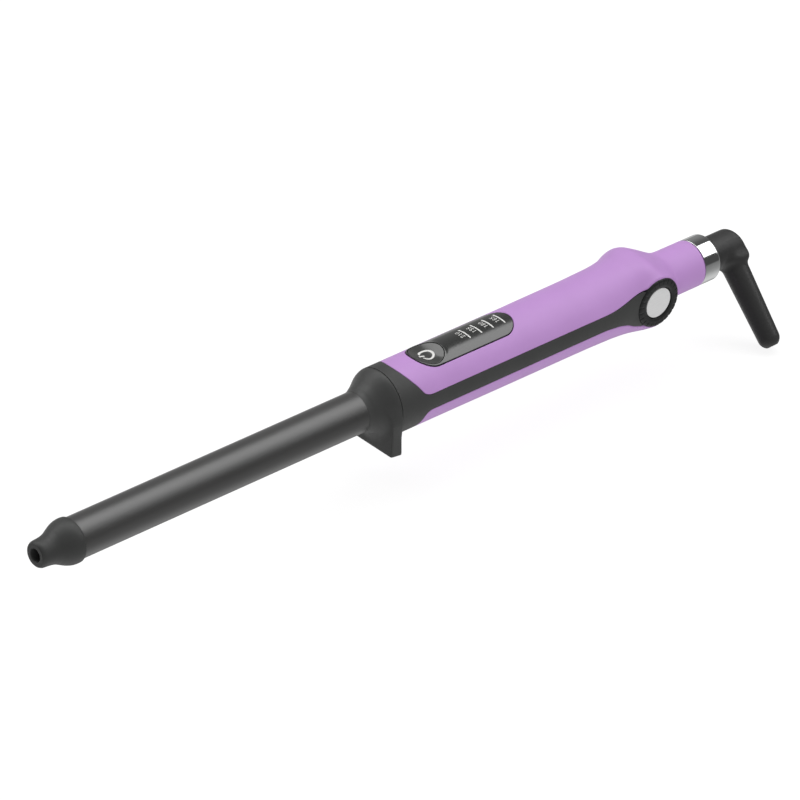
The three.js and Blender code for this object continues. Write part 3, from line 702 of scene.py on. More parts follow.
def moulded(name, colour, rough, spec=0.5, grain=5200, bump=0.25, depth=1.2e-5, vary=0.06, rough_vary=0.05,
            metallic=0.0, coat=0.0, coat_rough=0.1, stretch=None, sheen=0.0):
    """A moulded, painted or metal surface: fine grain, a little cloudiness and uneven gloss."""
    m, nt, bsdf, coord = new_material(name)
    vec = coord.outputs["Object"]
    if stretch:
        mp = nt.nodes.new("ShaderNodeMapping")
        mp.inputs["Scale"].default_value = stretch
        nt.links.new(vec, mp.inputs["Vector"])
        vec = mp.outputs["Vector"]
    cloud = noise(nt, vec, 70, 3.0)
    fine = noise(nt, vec, grain, 2.0, 0.6)
    mid = noise(nt, vec, 900, 2.0)
    lo = tuple(c * (1 - vary) for c in colour)
    hi = tuple(min(1.0, c * (1 + vary)) for c in colour)
    nt.links.new(mix_colour(nt, remap(nt, cloud, 0, 1), lo, hi), bsdf.inputs["Base Color"])
    nt.links.new(remap(nt, mid, rough - rough_vary, rough + rough_vary), bsdf.inputs["Roughness"])
    b = nt.nodes.new("ShaderNodeBump")
    b.inputs["Strength"].default_value = bump
    b.inputs["Distance"].default_value = depth
    nt.links.new(fine, b.inputs["Height"])
    nt.links.new(b.outputs[0], bsdf.inputs["Normal"])
    bsdf.inputs["Metallic"].default_value = metallic
    bsdf.inputs["Specular IOR Level"].default_value = spec
    bsdf.inputs["Coat Weight"].default_value = coat
    bsdf.inputs["Coat Roughness"].default_value = coat_rough
    if sheen:
        bsdf.inputs["Sheen Weight"].default_value = sheen
        bsdf.inputs["Sheen Roughness"].default_value = 0.5
    return m


def mat_barrel():
    m, nt, bsdf, coord = new_material("barrel_coating")
    vec = coord.outputs["Object"]
    mp = nt.nodes.new("ShaderNodeMapping")
    mp.inputs["Scale"].default_value = (0.25, 1, 1)
    nt.links.new(vec, mp.inputs["Vector"])
    cloud = noise(nt, mp.outputs[0], 60, 3.0)
    speck = noise(nt, vec, 3800, 1.0, 0.7)
    fine = noise(nt, vec, 6500, 2.0, 0.6)
    nt.links.new(mix_colour(nt, remap(nt, cloud, 0, 1), (0.039, 0.039, 0.038), (0.047, 0.047, 0.046)), bsdf.inputs["Base Color"])
    nt.links.new(remap(nt, speck, 0.32, 0.38), bsdf.inputs["Roughness"])
    b = nt.nodes.new("ShaderNodeBump")
    b.inputs["Strength"].default_value = 0.2
    b.inputs["Distance"].default_value = 8e-6
    nt.links.new(fine, b.inputs["Height"])
    nt.links.new(b.outputs[0], bsdf.inputs["Normal"])
    bsdf.inputs["Specular IOR Level"].default_value = 0.95
    bsdf.inputs["IOR"].default_value = 1.55
    return m


def mat_badge():
    """Brushed disc: fine straight scratches across the face."""
    m, nt, bsdf, coord = new_material("badge_metal")
    mp = nt.nodes.new("ShaderNodeMapping")
    mp.inputs["Rotation"].default_value = (0, math.radians(35), 0)
    mp.inputs["Scale"].default_value = (0.04, 1, 1)
    nt.links.new(coord.outputs["Object"], mp.inputs["Vector"])
    lines = noise(nt, mp.outputs[0], 4200, 3.0, 0.7)
    nt.links.new(mix_colour(nt, remap(nt, lines, 0, 1), (0.84, 0.84, 0.84), (0.95, 0.95, 0.95)), bsdf.inputs["Base Color"])
    nt.links.new(remap(nt, lines, 0.36, 0.46), bsdf.inputs["Roughness"])
    b = nt.nodes.new("ShaderNodeBump")
    b.inputs["Strength"].default_value = 0.25
    b.inputs["Distance"].default_value = 1.0e-5
    nt.links.new(lines, b.inputs["Height"])
    nt.links.new(b.outputs[0], bsdf.inputs["Normal"])
    bsdf.inputs["Metallic"].default_value = 0.2
    return m


def mat_chrome():
    m, nt, bsdf, coord = new_material("ring_chrome")
    cloud = noise(nt, coord.outputs["Object"], 260, 3.0)
    nt.links.new(mix_colour(nt, remap(nt, cloud, 0, 1), (0.70, 0.71, 0.71), (0.74, 0.75, 0.75)), bsdf.inputs["Base Color"])
    nt.links.new(remap(nt, cloud, 0.04, 0.075), bsdf.inputs["Roughness"])
    bsdf.inputs["Metallic"].default_value = 1.0
    return m


def mat_lens():
    m, nt, bsdf, coord = new_material("panel_lens")
    cloud = noise(nt, coord.outputs["Object"], 120, 2.0)
    fine = noise(nt, coord.outputs["Object"], 1500, 2.0)
    nt.links.new(mix_colour(nt, remap(nt, cloud, 0, 1), (0.034, 0.035, 0.034), (0.040, 0.041, 0.040)), bsdf.inputs["Base Color"])
    nt.links.new(remap(nt, fine, 0.15, 0.19), bsdf.inputs["Roughness"])
    b = nt.nodes.new("ShaderNodeBump")
    b.inputs["Strength"].default_value = 0.06
    b.inputs["Distance"].default_value = 1e-5
    nt.links.new(fine, b.inputs["Height"])
    nt.links.new(b.outputs[0], bsdf.inputs["Normal"])
    bsdf.inputs["Specular IOR Level"].default_value = 0.9
    return m


M = {
    "tip_plastic": moulded("tip_plastic", (0.045, 0.046, 0.045), 0.5, spec=0.45, grain=4600, bump=0.35),
    "cone_plastic": moulded("cone_plastic", (0.052, 0.053, 0.052), 0.48, spec=0.45, grain=4600, bump=0.35),
    "frame_plastic": moulded("frame_plastic", (0.053, 0.054, 0.053), 0.54, spec=0.4, grain=4600, bump=0.35),
    "elbow_plastic": moulded("elbow_plastic", (0.033, 0.033, 0.033), 0.45, spec=0.4, grain=4600, bump=0.3),
    "dial_plastic": moulded("dial_plastic", (0.015, 0.016, 0.016), 0.42, spec=0.38, grain=4600, bump=0.3),
    "shell_lilac": moulded("shell_lilac", (0.59, 0.328, 0.717), 0.44, spec=0.28, grain=5200, bump=0.18, vary=0.02),
    "button_plastic": moulded("button_plastic", (0.058, 0.059, 0.057), 0.15, spec=0.7, rough_vary=0.03, grain=5200, bump=0.15),
    "panel_lens": mat_lens(),
    "barrel_coating": mat_barrel(),
    "badge_metal": mat_badge(),
    "ring_chrome": mat_chrome(),
    "print_white": moulded("print_white", (0.86, 0.86, 0.84), 0.5, spec=0.4, grain=3000, bump=0.1, vary=0.03),
    "steel": moulded("steel", (0.55, 0.56, 0.57), 0.34, metallic=1.0, grain=2600, vary=0.08),
    "cast_aluminium": moulded("cast_aluminium", (0.62, 0.63, 0.64), 0.42, metallic=1.0, grain=1500, bump=0.5, depth=4e-5, vary=0.08),
    "heater_ceramic": moulded("heater_ceramic", (0.70, 0.67, 0.60), 0.7, grain=2400, bump=0.4, depth=3e-5),
    "heater_film": moulded("heater_film", (0.38, 0.13, 0.02), 0.22, spec=0.6, grain=900, bump=0.3, depth=4e-5, coat=0.4),
    "fuse_metal": moulded("fuse_metal", (0.60, 0.57, 0.50), 0.36, metallic=1.0, grain=2600),
    "sensor_glass": moulded("sensor_glass", (0.30, 0.05, 0.03), 0.12, spec=0.6, grain=1200, bump=0.1, coat=0.6),
    "lead_brown": moulded("lead_brown", (0.19, 0.05, 0.02), 0.5, grain=1800, bump=0.3),
    "lead_blue": moulded("lead_blue", (0.03, 0.08, 0.24), 0.5, grain=1800, bump=0.3),
    "bushing_plastic": moulded("bushing_plastic", (0.48, 0.40, 0.26), 0.62, grain=1600, bump=0.5, depth=3e-5, vary=0.12),
    "dome_rubber": moulded("dome_rubber", (0.25, 0.26, 0.25), 0.7, spec=0.3, grain=2400, bump=0.4),
    "component_black": moulded("component_black", (0.012, 0.012, 0.013), 0.48, grain=2600, bump=0.4),
    "board_green": moulded("board_green", (0.02, 0.10, 0.05), 0.3, spec=0.6, grain=1200, bump=0.25, depth=3e-5, vary=0.15, coat=0.3),
    "led_lens": moulded("led_lens", (0.80, 0.79, 0.72), 0.3, spec=0.5, grain=1600, bump=0.1),
    "capacitor_yellow": moulded("capacitor_yellow", (0.60, 0.36, 0.07), 0.38, grain=1600, bump=0.2),
    "pot_blue": moulded("pot_blue", (0.03, 0.11, 0.20), 0.45, grain=1800, bump=0.3),
    "acetal_white": moulded("acetal_white", (0.70, 0.68, 0.62), 0.42, grain=1800, bump=0.2),
    "brass": moulded("brass", (0.62, 0.42, 0.14), 0.26, metallic=1.0, grain=2600, vary=0.08),
}
CARRIED = {
    "steel": "tip_screw shell_screw_front shell_screw_rear pcb_screw_front pcb_screw_rear hub_retainer spindle_clip",
    "cast_aluminium": "barrel_end_plug heat_spreader_upper heat_spreader_lower",
    "heater_ceramic": "ptc_heater",
    "heater_film": "heater_film",
    "fuse_metal": "thermal_fuse",
    "sensor_glass": "ntc_sensor",
    "lead_brown": "heater_lead_live supply_lead_live",
    "lead_blue": "heater_lead_neutral supply_lead_neutral",
    "bushing_plastic": "barrel_bushing",
    "dome_rubber": "button_dome",
    "component_black": "tact_switch microcontroller triac",
    "board_green": "control_pcb",
    "led_lens": "level_led_1 level_led_2 level_led_3 level_led_4",
    "capacitor_yellow": "filter_capacitor",
    "pot_blue": "dial_potentiometer",
    "acetal_white": "swivel_bearing contact_block",
    "brass": "slip_ring_live slip_ring_neutral contact_live contact_neutral",
}
for slot_name, names in CARRIED.items():
    for node in names.split():
        ob = NODES[node]
        ob.data.materials.clear()
        ob.data.materials.append(M[slot_name])

# ================================================================ camera, light
scene = bpy.context.scene
R = np.array([
    [0.7361718714, -0.6742451883, 0.0586890264],
    [0.3295423832, 0.4328459583, 0.8390746058],
    [-0.5911453234, -0.5983626012, 0.5408413854],
])
shift_mm = np.array([-183.82, -74.62, -7000.0]) / 7000.0 * 2990.1
eye = -R.T @ shift_mm  # from the object's old origin, 91.3 mm ahead of the row's
cam_data = bpy.data.cameras.new("camera")
cam_data.sensor_width = 36.0
cam_data.lens = 7015.0 / 800.0 * 36.0
cam_data.clip_start, cam_data.clip_end = 0.1, 50.0
cam = bpy.data.objects.new("camera", cam_data)
rot = Matrix(R.T.tolist()).to_4x4()
cam.matrix_world = Matrix.Translation(Vector(((eye[0] - 91.3) / 1000, eye[1] / 1000, (eye[2] + 19.5) / 1000))) @ rot
scene.collection.objects.link(cam)
scene.camera = cam
scene.view_settings.view_transform = "Standard"
scene.view_settings.look = "None"


def area(name, centre, target, size_x, size_y, radiance, colour=(1, 1, 1), up=(1, 0, 0)):
    d = bpy.data.lights.new(name, "AREA")
    d.shape = "RECTANGLE"
    d.size, d.size_y = size_x, size_y
    d.energy = radiance * math.pi * size_x * size_y
    d.color = colour
    o = bpy.data.objects.new(name, d)
    z = (Vector(centre) - Vector(target)).normalized()
    x = Vector(up)
    x = (x - z * x.dot(z)).normalized()
    y = z.cross(x)
    o.matrix_world = Matrix.Translation(Vector(centre)) @ Matrix((x, y, z)).transposed().to_4x4()
    scene.collection.objects.link(o)
    return o


# one long softbox overhead, lying across the view; its near edge is right above the part
HEIGHT, REACH, LENGTH, GLOW = 6.0, 1.0, 34.0, 2.55
mid = HEIGHT * REACH / 4 + 0.25
area("softbox_over", (mid, mid, HEIGHT), (mid, mid, 0.0), LENGTH, HEIGHT * REACH / math.sqrt(2), GLOW, up=(1, -1, 0))

# a weak, very soft fill from the front, too broad to show in the gloss
fill = bpy.data.lights.new("fill_front", "SUN")
fill.energy, fill.angle = 1.3, math.radians(100)
fill_o = bpy.data.objects.new("fill_front", fill)
fill_o.matrix_world = Vector((-0.30, -0.93, 0.20)).to_track_quat("Z", "Y").to_matrix().to_4x4()
fill_o.visible_glossy = False
scene.collection.objects.link(fill_o)

world = bpy.data.worlds.new("studio")
scene.world = world
world.use_nodes = True
wn = world.node_tree
wn.nodes.clear()
w_out = wn.nodes.new("ShaderNodeOutputWorld")
w_bg = wn.nodes.new("ShaderNodeBackground")
w_co = wn.nodes.new("ShaderNodeTexCoord")
w_sep = wn.nodes.new("ShaderNodeSeparateXYZ")
wn.links.new(w_co.outputs["Generated"], w_sep.inputs[0])


def ramp(socket, lo, hi, stops):
    mr = wn.nodes.new("ShaderNodeMapRange")
    mr.inputs["From Min"].default_value, mr.inputs["From Max"].default_value = lo, hi
    wn.links.new(socket, mr.inputs["Value"])
    cr = wn.nodes.new("ShaderNodeValToRGB")
    wn.links.new(mr.outputs["Result"], cr.inputs["Fac"])
    e = cr.color_ramp.elements
    while len(e) < len(stops):
        e.new(0.5)
    for k, (at, value) in enumerate(stops):
        e[k].position = (at - lo) / (hi - lo)
        e[k].color = (value, value, value, 1)
    return cr.outputs["Color"]


def blend_colour(kind, fac, a, b):
    n = wn.nodes.new("ShaderNodeMix")
    n.data_type = "RGBA"
    n.blend_type = kind
    if isinstance(fac, float):
        n.inputs["Factor"].default_value = fac
    else:
        wn.links.new(fac, n.inputs["Factor"])
    wn.links.new(a, n.inputs["A"])
    wn.links.new(b, n.inputs["B"])
    return n.outputs["Result"]


above = ramp(w_sep.outputs["Y"], -1, 1, [(-1.0, 0.075), (0.1, 0.085), (0.44, 0.13), (0.62, 0.21), (0.8, 0.31), (1.0, 0.40)])
below = ramp(w_sep.outputs["Z"], -1, 0, [(-1.0, 0.85), (-0.81, 0.78), (-0.74, 0.68), (-0.65, 0.55), (-0.54, 0.41), (-0.40, 0.32), (-0.25, 0.275), (0.0, 0.20)])
behind = ramp(w_sep.outputs["Y"], -1, 1, [(-1.0, 1.0), (0.02, 1.0), (0.17, 0.88), (0.33, 0.50), (0.47, 0.50), (0.70, 1.5), (0.80, 2.9), (1.0, 2.9)])
side = ramp(w_sep.outputs["Z"], -1, 1, [(-1.0, 0.0), (-0.10, 0.0), (0.0, 1.0), (1.0, 1.0)])
wn.links.new(blend_colour("MIX", side, blend_colour("MULTIPLY", 1.0, below, behind), above), w_bg.inputs["Color"])
wn.links.new(w_bg.outputs[0], w_out.inputs[0])
w_bg.inputs["Strength"].default_value = 1.0

# floor, just under the arm's low end
FLOOR_Z = CAD_LO.z - 0.0004
fm = bpy.data.materials.new("floor")
fm.use_nodes = True
fb = fm.node_tree.nodes["Principled BSDF"]
fb.inputs["Base Color"].default_value = (0.22, 0.22, 0.22, 1)
fb.inputs["Roughness"].default_value = 0.9
fb.inputs["Specular IOR Level"].default_value = 0.1
fb.inputs["Emission Color"].default_value = (1, 1, 1, 1)
fb.inputs["Emission Strength"].default_value = 0.86
fme = bpy.data.meshes.new("floor")
s = 6.0
fme.from_pydata([(-s, -s, FLOOR_Z), (s, -s, FLOOR_Z), (s, s, FLOOR_Z), (-s, s, FLOOR_Z)], [], [(0, 1, 2, 3)])
fme.materials.append(fm)
floor = bpy.data.objects.new("floor", fme)
scene.collection.objects.link(floor)
floor.visible_glossy = floor.visible_diffuse = floor.visible_shadow = False

# =================================================================== tip, barrel
tip = Mesh()
outer = curve_points([[-190.9, 5.7], [-190.1, 6.08], [-188.8, 6.24], [-187.0, 6.36], [-184.4, 6.74], [-182.4, 7.35], [-180.2, 8.4], [-178.2, 9.35],
                      [-176.2, 10.05], [-174.5, 10.36], [-173.2, 10.42], [-172.1, 10.36]], 0.45)
lathe(tip, [(-191.4, 3.1, 0.35), (-191.4, 5.15, 0.5)] + outer + [(-171.55, 10.1, 0.3), (-171.6, 8.4, 0.1), (-164.0, 8.4, 0.3), (-164.0, 1.8, 0.2), (-181.6, 1.8, 0.1), (-181.6, 3.1, 0.2)],
      segments=128)
tip.build("cool_tip_moulding", "wand", M["tip_plastic"], ["cool_tip"])

barrel = Mesh()
lathe(barrel, [(-171.3, 8.7, 0.1), (-171.3, 9.5, 0.25), (-3.6, 9.5, 0.15), (-3.6, 8.7, 0.1)], segments=160, split=12.0)
barrel.build("barrel_sleeve", "wand", M["barrel_coating"], ["barrel_tube"])

# ================================================================= cone and foot
cone_curve = np.array([[p[0], p[1]] for p in curve_points([[-10.8, 9.545], [-9.8, 9.70], [-8.4, 10.1], [-7.2, 10.65], [-5.9, 11.25], [-4.4, 12.05], [-2.9, 13.0], [-1.4, 14.0],
                                                     [0.1, 14.95], [1.3, 15.55], [2.2, 15.85], [2.75, 15.95], [3.5, 16.0]], 0.2)])


def smin(a, b, k):
    h = np.clip(0.5 + 0.5 * (b - a) / k, 0, 1)
    return b * (1 - h) + a * h - k * h * (1 - h)


def smax(a, b, k):
    return -smin(-a, -b, k)


def cone_field(p):
    x, y, z = p[..., 0], p[..., 1], p[..., 2]
    f1 = (np.hypot(y, z) - np.interp(x, cone_curve[:, 0], cone_curve[:, 1])) * 0.85
    zc, hh, hw = -9.05, 10.45, 15.6
    zz = z - zc
    r = np.where(zz > 0, 5.0, 1.3)
    qx, qz = np.abs(y) - hw + r, np.abs(zz) - hh + r
    f2 = np.minimum(np.maximum(qx, qz), 0) + np.hypot(np.maximum(qx, 0), np.maximum(qz, 0)) - r
    f2 = smax(f2, -1.95 - x, 0.9)
    return smin(f1, f2, 3.2)


def gradient(field, p, e=0.02):
    g = np.stack([field(p + np.eye(3)[i] * e) - field(p - np.eye(3)[i] * e) for i in range(3)], -1)
    return g / np.maximum(np.linalg.norm(g, axis=-1, keepdims=True), 1e-12)


O = np.array([2.45, 0, 0])
a0 = math.atan2(9.555, 13.25)
al = np.concatenate([np.linspace(a0, math.radians(70), 36, endpoint=False), np.radians(np.linspace(70, 84, 52, endpoint=False)), np.radians(np.linspace(84, 90, 9))])
ph = np.linspace(0, 2 * np.pi, 432, endpoint=False)
AL, PH = np.meshgrid(al, ph, indexing="ij")
DIR = np.stack([-np.cos(AL), -np.sin(AL) * np.sin(PH), np.sin(AL) * np.cos(PH)], -1)
lo_t, hi_t = np.full(AL.shape, 4.0), np.full(AL.shape, 40.0)
for _ in range(40):
    mid = (lo_t + hi_t) / 2
    inside = cone_field(O + DIR * mid[..., None]) < 0
    lo_t, hi_t = np.where(inside, mid, lo_t), np.where(inside, hi_t, mid)
CP = O + DIR * ((lo_t + hi_t) / 2)[..., None]
CN = gradient(cone_field, CP)
cone = Mesh()
cone.add(CP, grid_faces(*AL.shape, False, True), CN)
edge_p, edge_n = CP[-1], CN[-1] * [0, 1, 1]
edge_n /= np.linalg.norm(edge_n, axis=1, keepdims=True)
rows, rn = [], []
for k in range(5):
    a = math.pi / 2 * k / 4
    rows.append(edge_p + np.array([0.4 * math.sin(a), 0, 0]) - edge_n * 0.12 * (1 - math.cos(a)))
    rn.append(edge_n * math.cos(a) + np.array([1.0, 0, 0]) * math.sin(a))
rows, rn = np.array(rows), np.array(rn)
cone.add(rows, grid_faces(5, len(ph), False, True), rn)
rad = np.stack([np.zeros_like(ph), -np.sin(ph), np.cos(ph)], -1)


def ring_at(x, r):
    return rad * r + np.array([x, 0, 0])


XN = np.array([1.0, 0, 0])
cone.add(np.array([rows[-1], ring_at(2.85, 13.4)]), grid_faces(2, len(ph), False, True), np.broadcast_to(XN, (2, len(ph), 3)))
bore = [(2.85, 13.4), (0.8, 13.4), (-1.2, 12.1), (-6.6, 9.72), (-10.4, 9.52), (-10.8, 9.52)]
for (x0, r0), (x1, r1) in zip(bore[:-1], bore[1:]):
    nn = np.array([r1 - r0, x0 - x1])
    nn = nn / np.linalg.norm(nn)
    n3 = rad * (-abs(nn[1])) + np.array([nn[0] * (1 if nn[1] < 0 else -1), 0, 0])
    cone.add(np.array([ring_at(x0, r0), ring_at(x1, r1)]), grid_faces(2, len(ph), False, True), np.array([n3, n3]))
cone.add(np.array([ring_at(-10.8, 9.52), CP[0]]), grid_faces(2, len(ph), False, True), np.broadcast_to(-XN, (2, len(ph), 3)))
# the foot thickens towards its lower corners, and its sole drops a little towards the handle
for v in cone.v:
    r_ = np.hypot(v[:, 1], v[:, 2])
    back = np.clip((v[:, 0] + 1.95) / 4.4, 0, 1)
    low = smooth_step(-v[:, 2], 3.0, 9.0)
    v[:, 0] += (0.3 * smooth_step(r_, 16.3, 17.4) + 0.95 * np.clip((r_ - 17.0) / 8.0, 0, 1)) * back * low
    v[:, 2] -= 0.75 * back * smooth_step(-v[:, 2], 16.8, 18.6)
cone.build("front_cone_foot", "wand", M["cone_plastic"], ["front_cone"])

# ============================================================== handle mouldings
GAP_F, GAP_S = 0.06, 0.17
PI_U = SEAM_BOTTOM


def fine_fillet(x, u):
    return 0.3 + 0.0 * x


def shell_fillet(x, u):
    return 0.3 + 0.45 * smooth_step(x, 128, 142) * (1 - smooth_step(x, 171, 175))


# frame: front ring, strips and the pads under the dial
fr = Mesh()
CIRC_F, CIRC_S = 12.24, 12.3
up = soften(upper_line(GAP_F, CIRC_F), SOFT, ("seam", "fixed"))
low = soften(lower_line(GAP_F, CIRC_F), SOFT, ("seam", "fixed"))
up, low = up[up[:, 0] < 148.3], low[low[:, 0] < 148.0]
left = xz_chain(arc(DIAL_X, DIAL_Z, CIRC_F, 134.5, 225.0, 60))
front = np.array([[2.97, PI_U], [2.97, 0]])
patch(fr, [("edge", front), ("seam", [[2.97, 0], up[0]]), ("edge", up), ("edge", [up[-1], left[0]]), ("edge", left), ("edge", [left[-1], low[-1]]), ("edge", low[::-1]), ("seam", [low[0], [2.97, PI_U]])],
      lambda x: 2.0 + 0.75 * smooth_step(x, 138, 146), lambda x, u: np.where(x < 4, 0.12, 0.25), 1.5, 1.15)
fr.mirror()
for side in (-1.0, 1.0):
    ax = y_axis(DIAL_X, DIAL_Z, side)
    lathe(fr, [(9.6, 3.3, 0.1), (13.3, 3.3, 0.1), (13.3, 12.0, 0.25), (9.6, 12.0, 0.2), (9.6, 10.4, 0.1), (11.3, 10.4, 0.1), (11.3, 6.2, 0.1), (9.6, 6.2, 0.1)], ax, 96)
fr.build("handle_frame_moulding", "wand", M["frame_plastic"], ["handle_frame"])

# upper shell with the window and the whole neck
us = Mesh()
ang = math.degrees(math.acos((163.7 - DIAL_X) / CIRC_S))
upS = soften(upper_line(GAP_S, CIRC_S, -ang), SOFT, ("seam", "fixed"))
split = np.array([[163.7, upS[-1][1]], [163.7, PI_U]])
upS[-1] = split[0]
hole = xy_chain(stadium_half(0.2))
hole[0][1] = hole[-1][1] = 0.0
patch(us, [("edge", upS), ("edge", split), ("seam", [[163.7, PI_U], [192.2, PI_U]]), ("edge", [[192.2, PI_U], [192.2, 0]]),
           ("seam", [[192.2, 0], hole[0]]), ("edge", hole), ("seam", [hole[-1], upS[0]])],
      2.0, shell_fillet, 1.3, 1.15)
us.mirror()
us.build("upper_shell_moulding", "wand", M["shell_lilac"], ["upper_shell"])

# lower shell with its two screw wells
ls = Mesh()
ang2 = math.degrees(math.acos((163.4 - DIAL_X) / CIRC_S))
lowS = soften(lower_line(GAP_S, CIRC_S, 360 - ang2), SOFT, ("seam", "fixed"))
split2 = np.array([[163.4, lowS[-1][1]], [163.4, PI_U]])
lowS[-1] = split2[0]
segs = [("edge", lowS), ("edge", split2)]
x_prev = 163.4
for cx in (127.0, 100.0):
    a = np.radians(np.linspace(0, 180, 24))
    well = np.stack([cx + 2.5 * np.cos(a), PI_U - 2.5 * np.sin(a) * (U / bot_height(np.full(24, cx)))], -1)
    well[0][1] = well[-1][1] = PI_U
    segs += [("seam", [[x_prev, PI_U], well[0]]), ("edge", well)]
    x_prev = well[-1][0]
segs.append(("seam", [[x_prev, PI_U], lowS[0]]))
patch(ls, segs, 2.0, lambda x, u: np.where(u > PI_U - 2.7, np.where(np.abs(x - 113.5) < 17, 0.25, 0.3), shell_fillet(x, u)), 1.5, 1.15)
ls.mirror()
for cx in (100.0, 127.0):
    lathe(ls, [(-14.2, 2.5, 0.1), (-8.2, 2.5, 0.15), (-8.2, 1.5, 0.1), (-2.4, 1.5, 0.2), (-2.4, 3.4, 0.3), (-14.2, 3.4, 0.1)], z_axis(cx, 0), 48)
for cx in (30.0, 84.0):
    lathe(ls, [(-13.0, 0, 0), (-13.0, 2.4, 0.1), (4.6, 2.4, 0.3), (4.6, 1.1, 0.15), (-4.0, 1.1, 0.1), (-4.0, 0, 0)], z_axis(cx, -7), 40)
ls.build("lower_shell_moulding", "wand", M["shell_lilac"], ["lower_shell"])

# ================================================================= panel, button
BX, BR = 29.85, 7.93
HOLE_R = 8.2


def lens_lift(x, y):
    rho = np.hypot(x - BX, y)
    return 0.06 + 0.2 * np.exp(-(((rho - 8.5) / 0.9) ** 2)) * (rho > 8.0)


pn = Mesh()
outer_l = xy_chain(stadium_half(-0.12))
outer_l[0][1] = outer_l[-1][1] = 0.0
inner_l = xy_chain(arc(BX, 0, HOLE_R, 180, 360, 80))
inner_l[0][1] = inner_l[-1][1] = 0.0
patch(pn, [("edge", outer_l), ("seam", [outer_l[-1], inner_l[0]]), ("edge", inner_l), ("seam", [inner_l[-1], outer_l[0]])],
      1.5, lambda x, u: np.where(np.abs(np.hypot(x - BX, u) - 8.4) < 0.5, 0.14, 0.26), 1.0, 0.9, lens_lift, spacing=0.5)
pn.mirror()
pn.build("control_panel_lens", "wand", M["panel_lens"], ["control_panel"])

ZC, Z_RIM_R = 13.75, 16.12


def dish_z(x, y):
    rho2 = ((x - BX) ** 2 + y**2) / BR**2
    rho = np.sqrt(np.maximum(rho2, 1e-12))
    yr = np.where(rho > 1e-5, y / rho, 0)
    rim = np.sqrt(np.maximum(Z_RIM_R**2 - np.clip(yr, -BR, BR) ** 2, 0))
    return ZC + (rim - ZC) * ((rho2 + 0.012) ** 0.66 - 0.012**0.66) / (1.012**0.66 - 0.012**0.66)


bt = Mesh()
th = np.linspace(0, 2 * np.pi, 128, endpoint=False)
rr = np.concatenate([np.linspace(0, BR - 0.16, 26)])
RR, TH = np.meshgrid(rr, th, indexing="ij")
bx, by = BX + RR * np.cos(TH), RR * np.sin(TH)
top = np.stack([bx, by, dish_z(bx, by)], -1)
e = 0.01
gx = (dish_z(bx + e, by) - dish_z(bx - e, by)) / (2 * e)
gy = (dish_z(bx, by + e) - dish_z(bx, by - e)) / (2 * e)
tn = np.stack([-gx, -gy, np.ones_like(gx)], -1)
tn[0] = [0, 0, 1]
tn /= np.linalg.norm(tn, axis=-1, keepdims=True)
bt.add(top, grid_faces(*RR.shape, False, True), tn)
outd = np.stack([np.cos(th), np.sin(th), np.zeros_like(th)], -1)
rows, rn = [], []
for k in range(6):
    a = math.pi / 2 * k / 5
    q = BR - 0.16 * (1 - math.sin(a))
    xx, yy = BX + q * np.cos(th), q * np.sin(th)
    zz = dish_z(BX + (BR - 0.16) * np.cos(th), (BR - 0.16) * np.sin(th)) - 0.16 * (1 - math.cos(a)) + 0.04 * math.sin(a)
    rows.append(np.stack([xx, yy, zz], -1))
    rn.append(tn[-1] * math.cos(a) + outd * math.sin(a))
rows.append(np.stack([BX + BR * np.cos(th), BR * np.sin(th), np.full_like(th, 12.2)], -1))
rn.append(outd)
bt.add(np.array(rows), grid_faces(7, 128, False, True), np.array(rn))
DN = np.array([0, 0, -1.0])


def zring(r, z):
    return np.stack([BX + r * np.cos(th), r * np.sin(th), np.full_like(th, z)], -1)


bt.add(np.array([rows[-1], zring(2.0, 12.2)]), grid_faces(2, 128, False, True), np.broadcast_to(DN, (2, 128, 3)))
bt.add(np.array([zring(2.0, 12.2), zring(2.0, 10.4)]), grid_faces(2, 128, False, True), np.array([outd, outd]))
bt.add(np.array([zring(2.0, 10.4), zring(0.0, 10.4)]), grid_faces(2, 128, False, True), np.broadcast_to(DN, (2, 128, 3)))
bt.build("power_button_key", "power_key", M["button_plastic"], ["power_button"])

# ------------------------------------------------------------------ white print
INK = 0.05


def ink_strip(mesh, left, right, height, low=-0.03):
    """Thin closed print along two side lines given in (x, y) plan. height(x, y) is the surface under it."""
    left, right = np.array(left, float), np.array(right, float)
    n = len(left)
    cols = 5
    w = np.linspace(0, 1, cols)
    G = left[:, None] * (1 - w)[None, :, None] + right[:, None] * w[None, :, None]
    zt = height(G[..., 0], G[..., 1])
    topv = np.dstack([G, zt + INK])
    botv = np.dstack([G, zt + low])
    gn = grid_normals(topv, False, False)
    gn *= np.where(gn[..., 2:] < 0, -1, 1)
    mesh.add(topv, grid_faces(n, cols), gn)
    mesh.add(botv, grid_faces(n, cols), -gn)
    loop = [(i, 0) for i in range(n)] + [(n - 1, j) for j in range(1, cols)] + [(i, cols - 1) for i in range(n - 2, -1, -1)] + [(0, j) for j in range(cols - 2, 0, -1)]
    c = G.reshape(-1, 2).mean(0)
    m = len(loop)
    tp = np.array([topv[i, j] for i, j in loop])
    bp = np.array([botv[i, j] for i, j in loop])
    side = np.roll(tp, -1, 0) - np.roll(tp, 1, 0)
    sn = np.stack([side[:, 1], -side[:, 0], np.zeros(m)], -1)
    ar = 0.5 * np.sum(tp[:, 0] * np.roll(tp[:, 1], -1) - np.roll(tp[:, 0], -1) * tp[:, 1])
    sn *= 1 if ar > 0 else -1
    sn /= np.maximum(np.linalg.norm(sn, axis=1, keepdims=True), 1e-9)
    mesh.add(np.vstack([tp, bp]), [(i, (i + 1) % m, m + (i + 1) % m, m + i) for i in range(m)], np.vstack([sn, sn]))


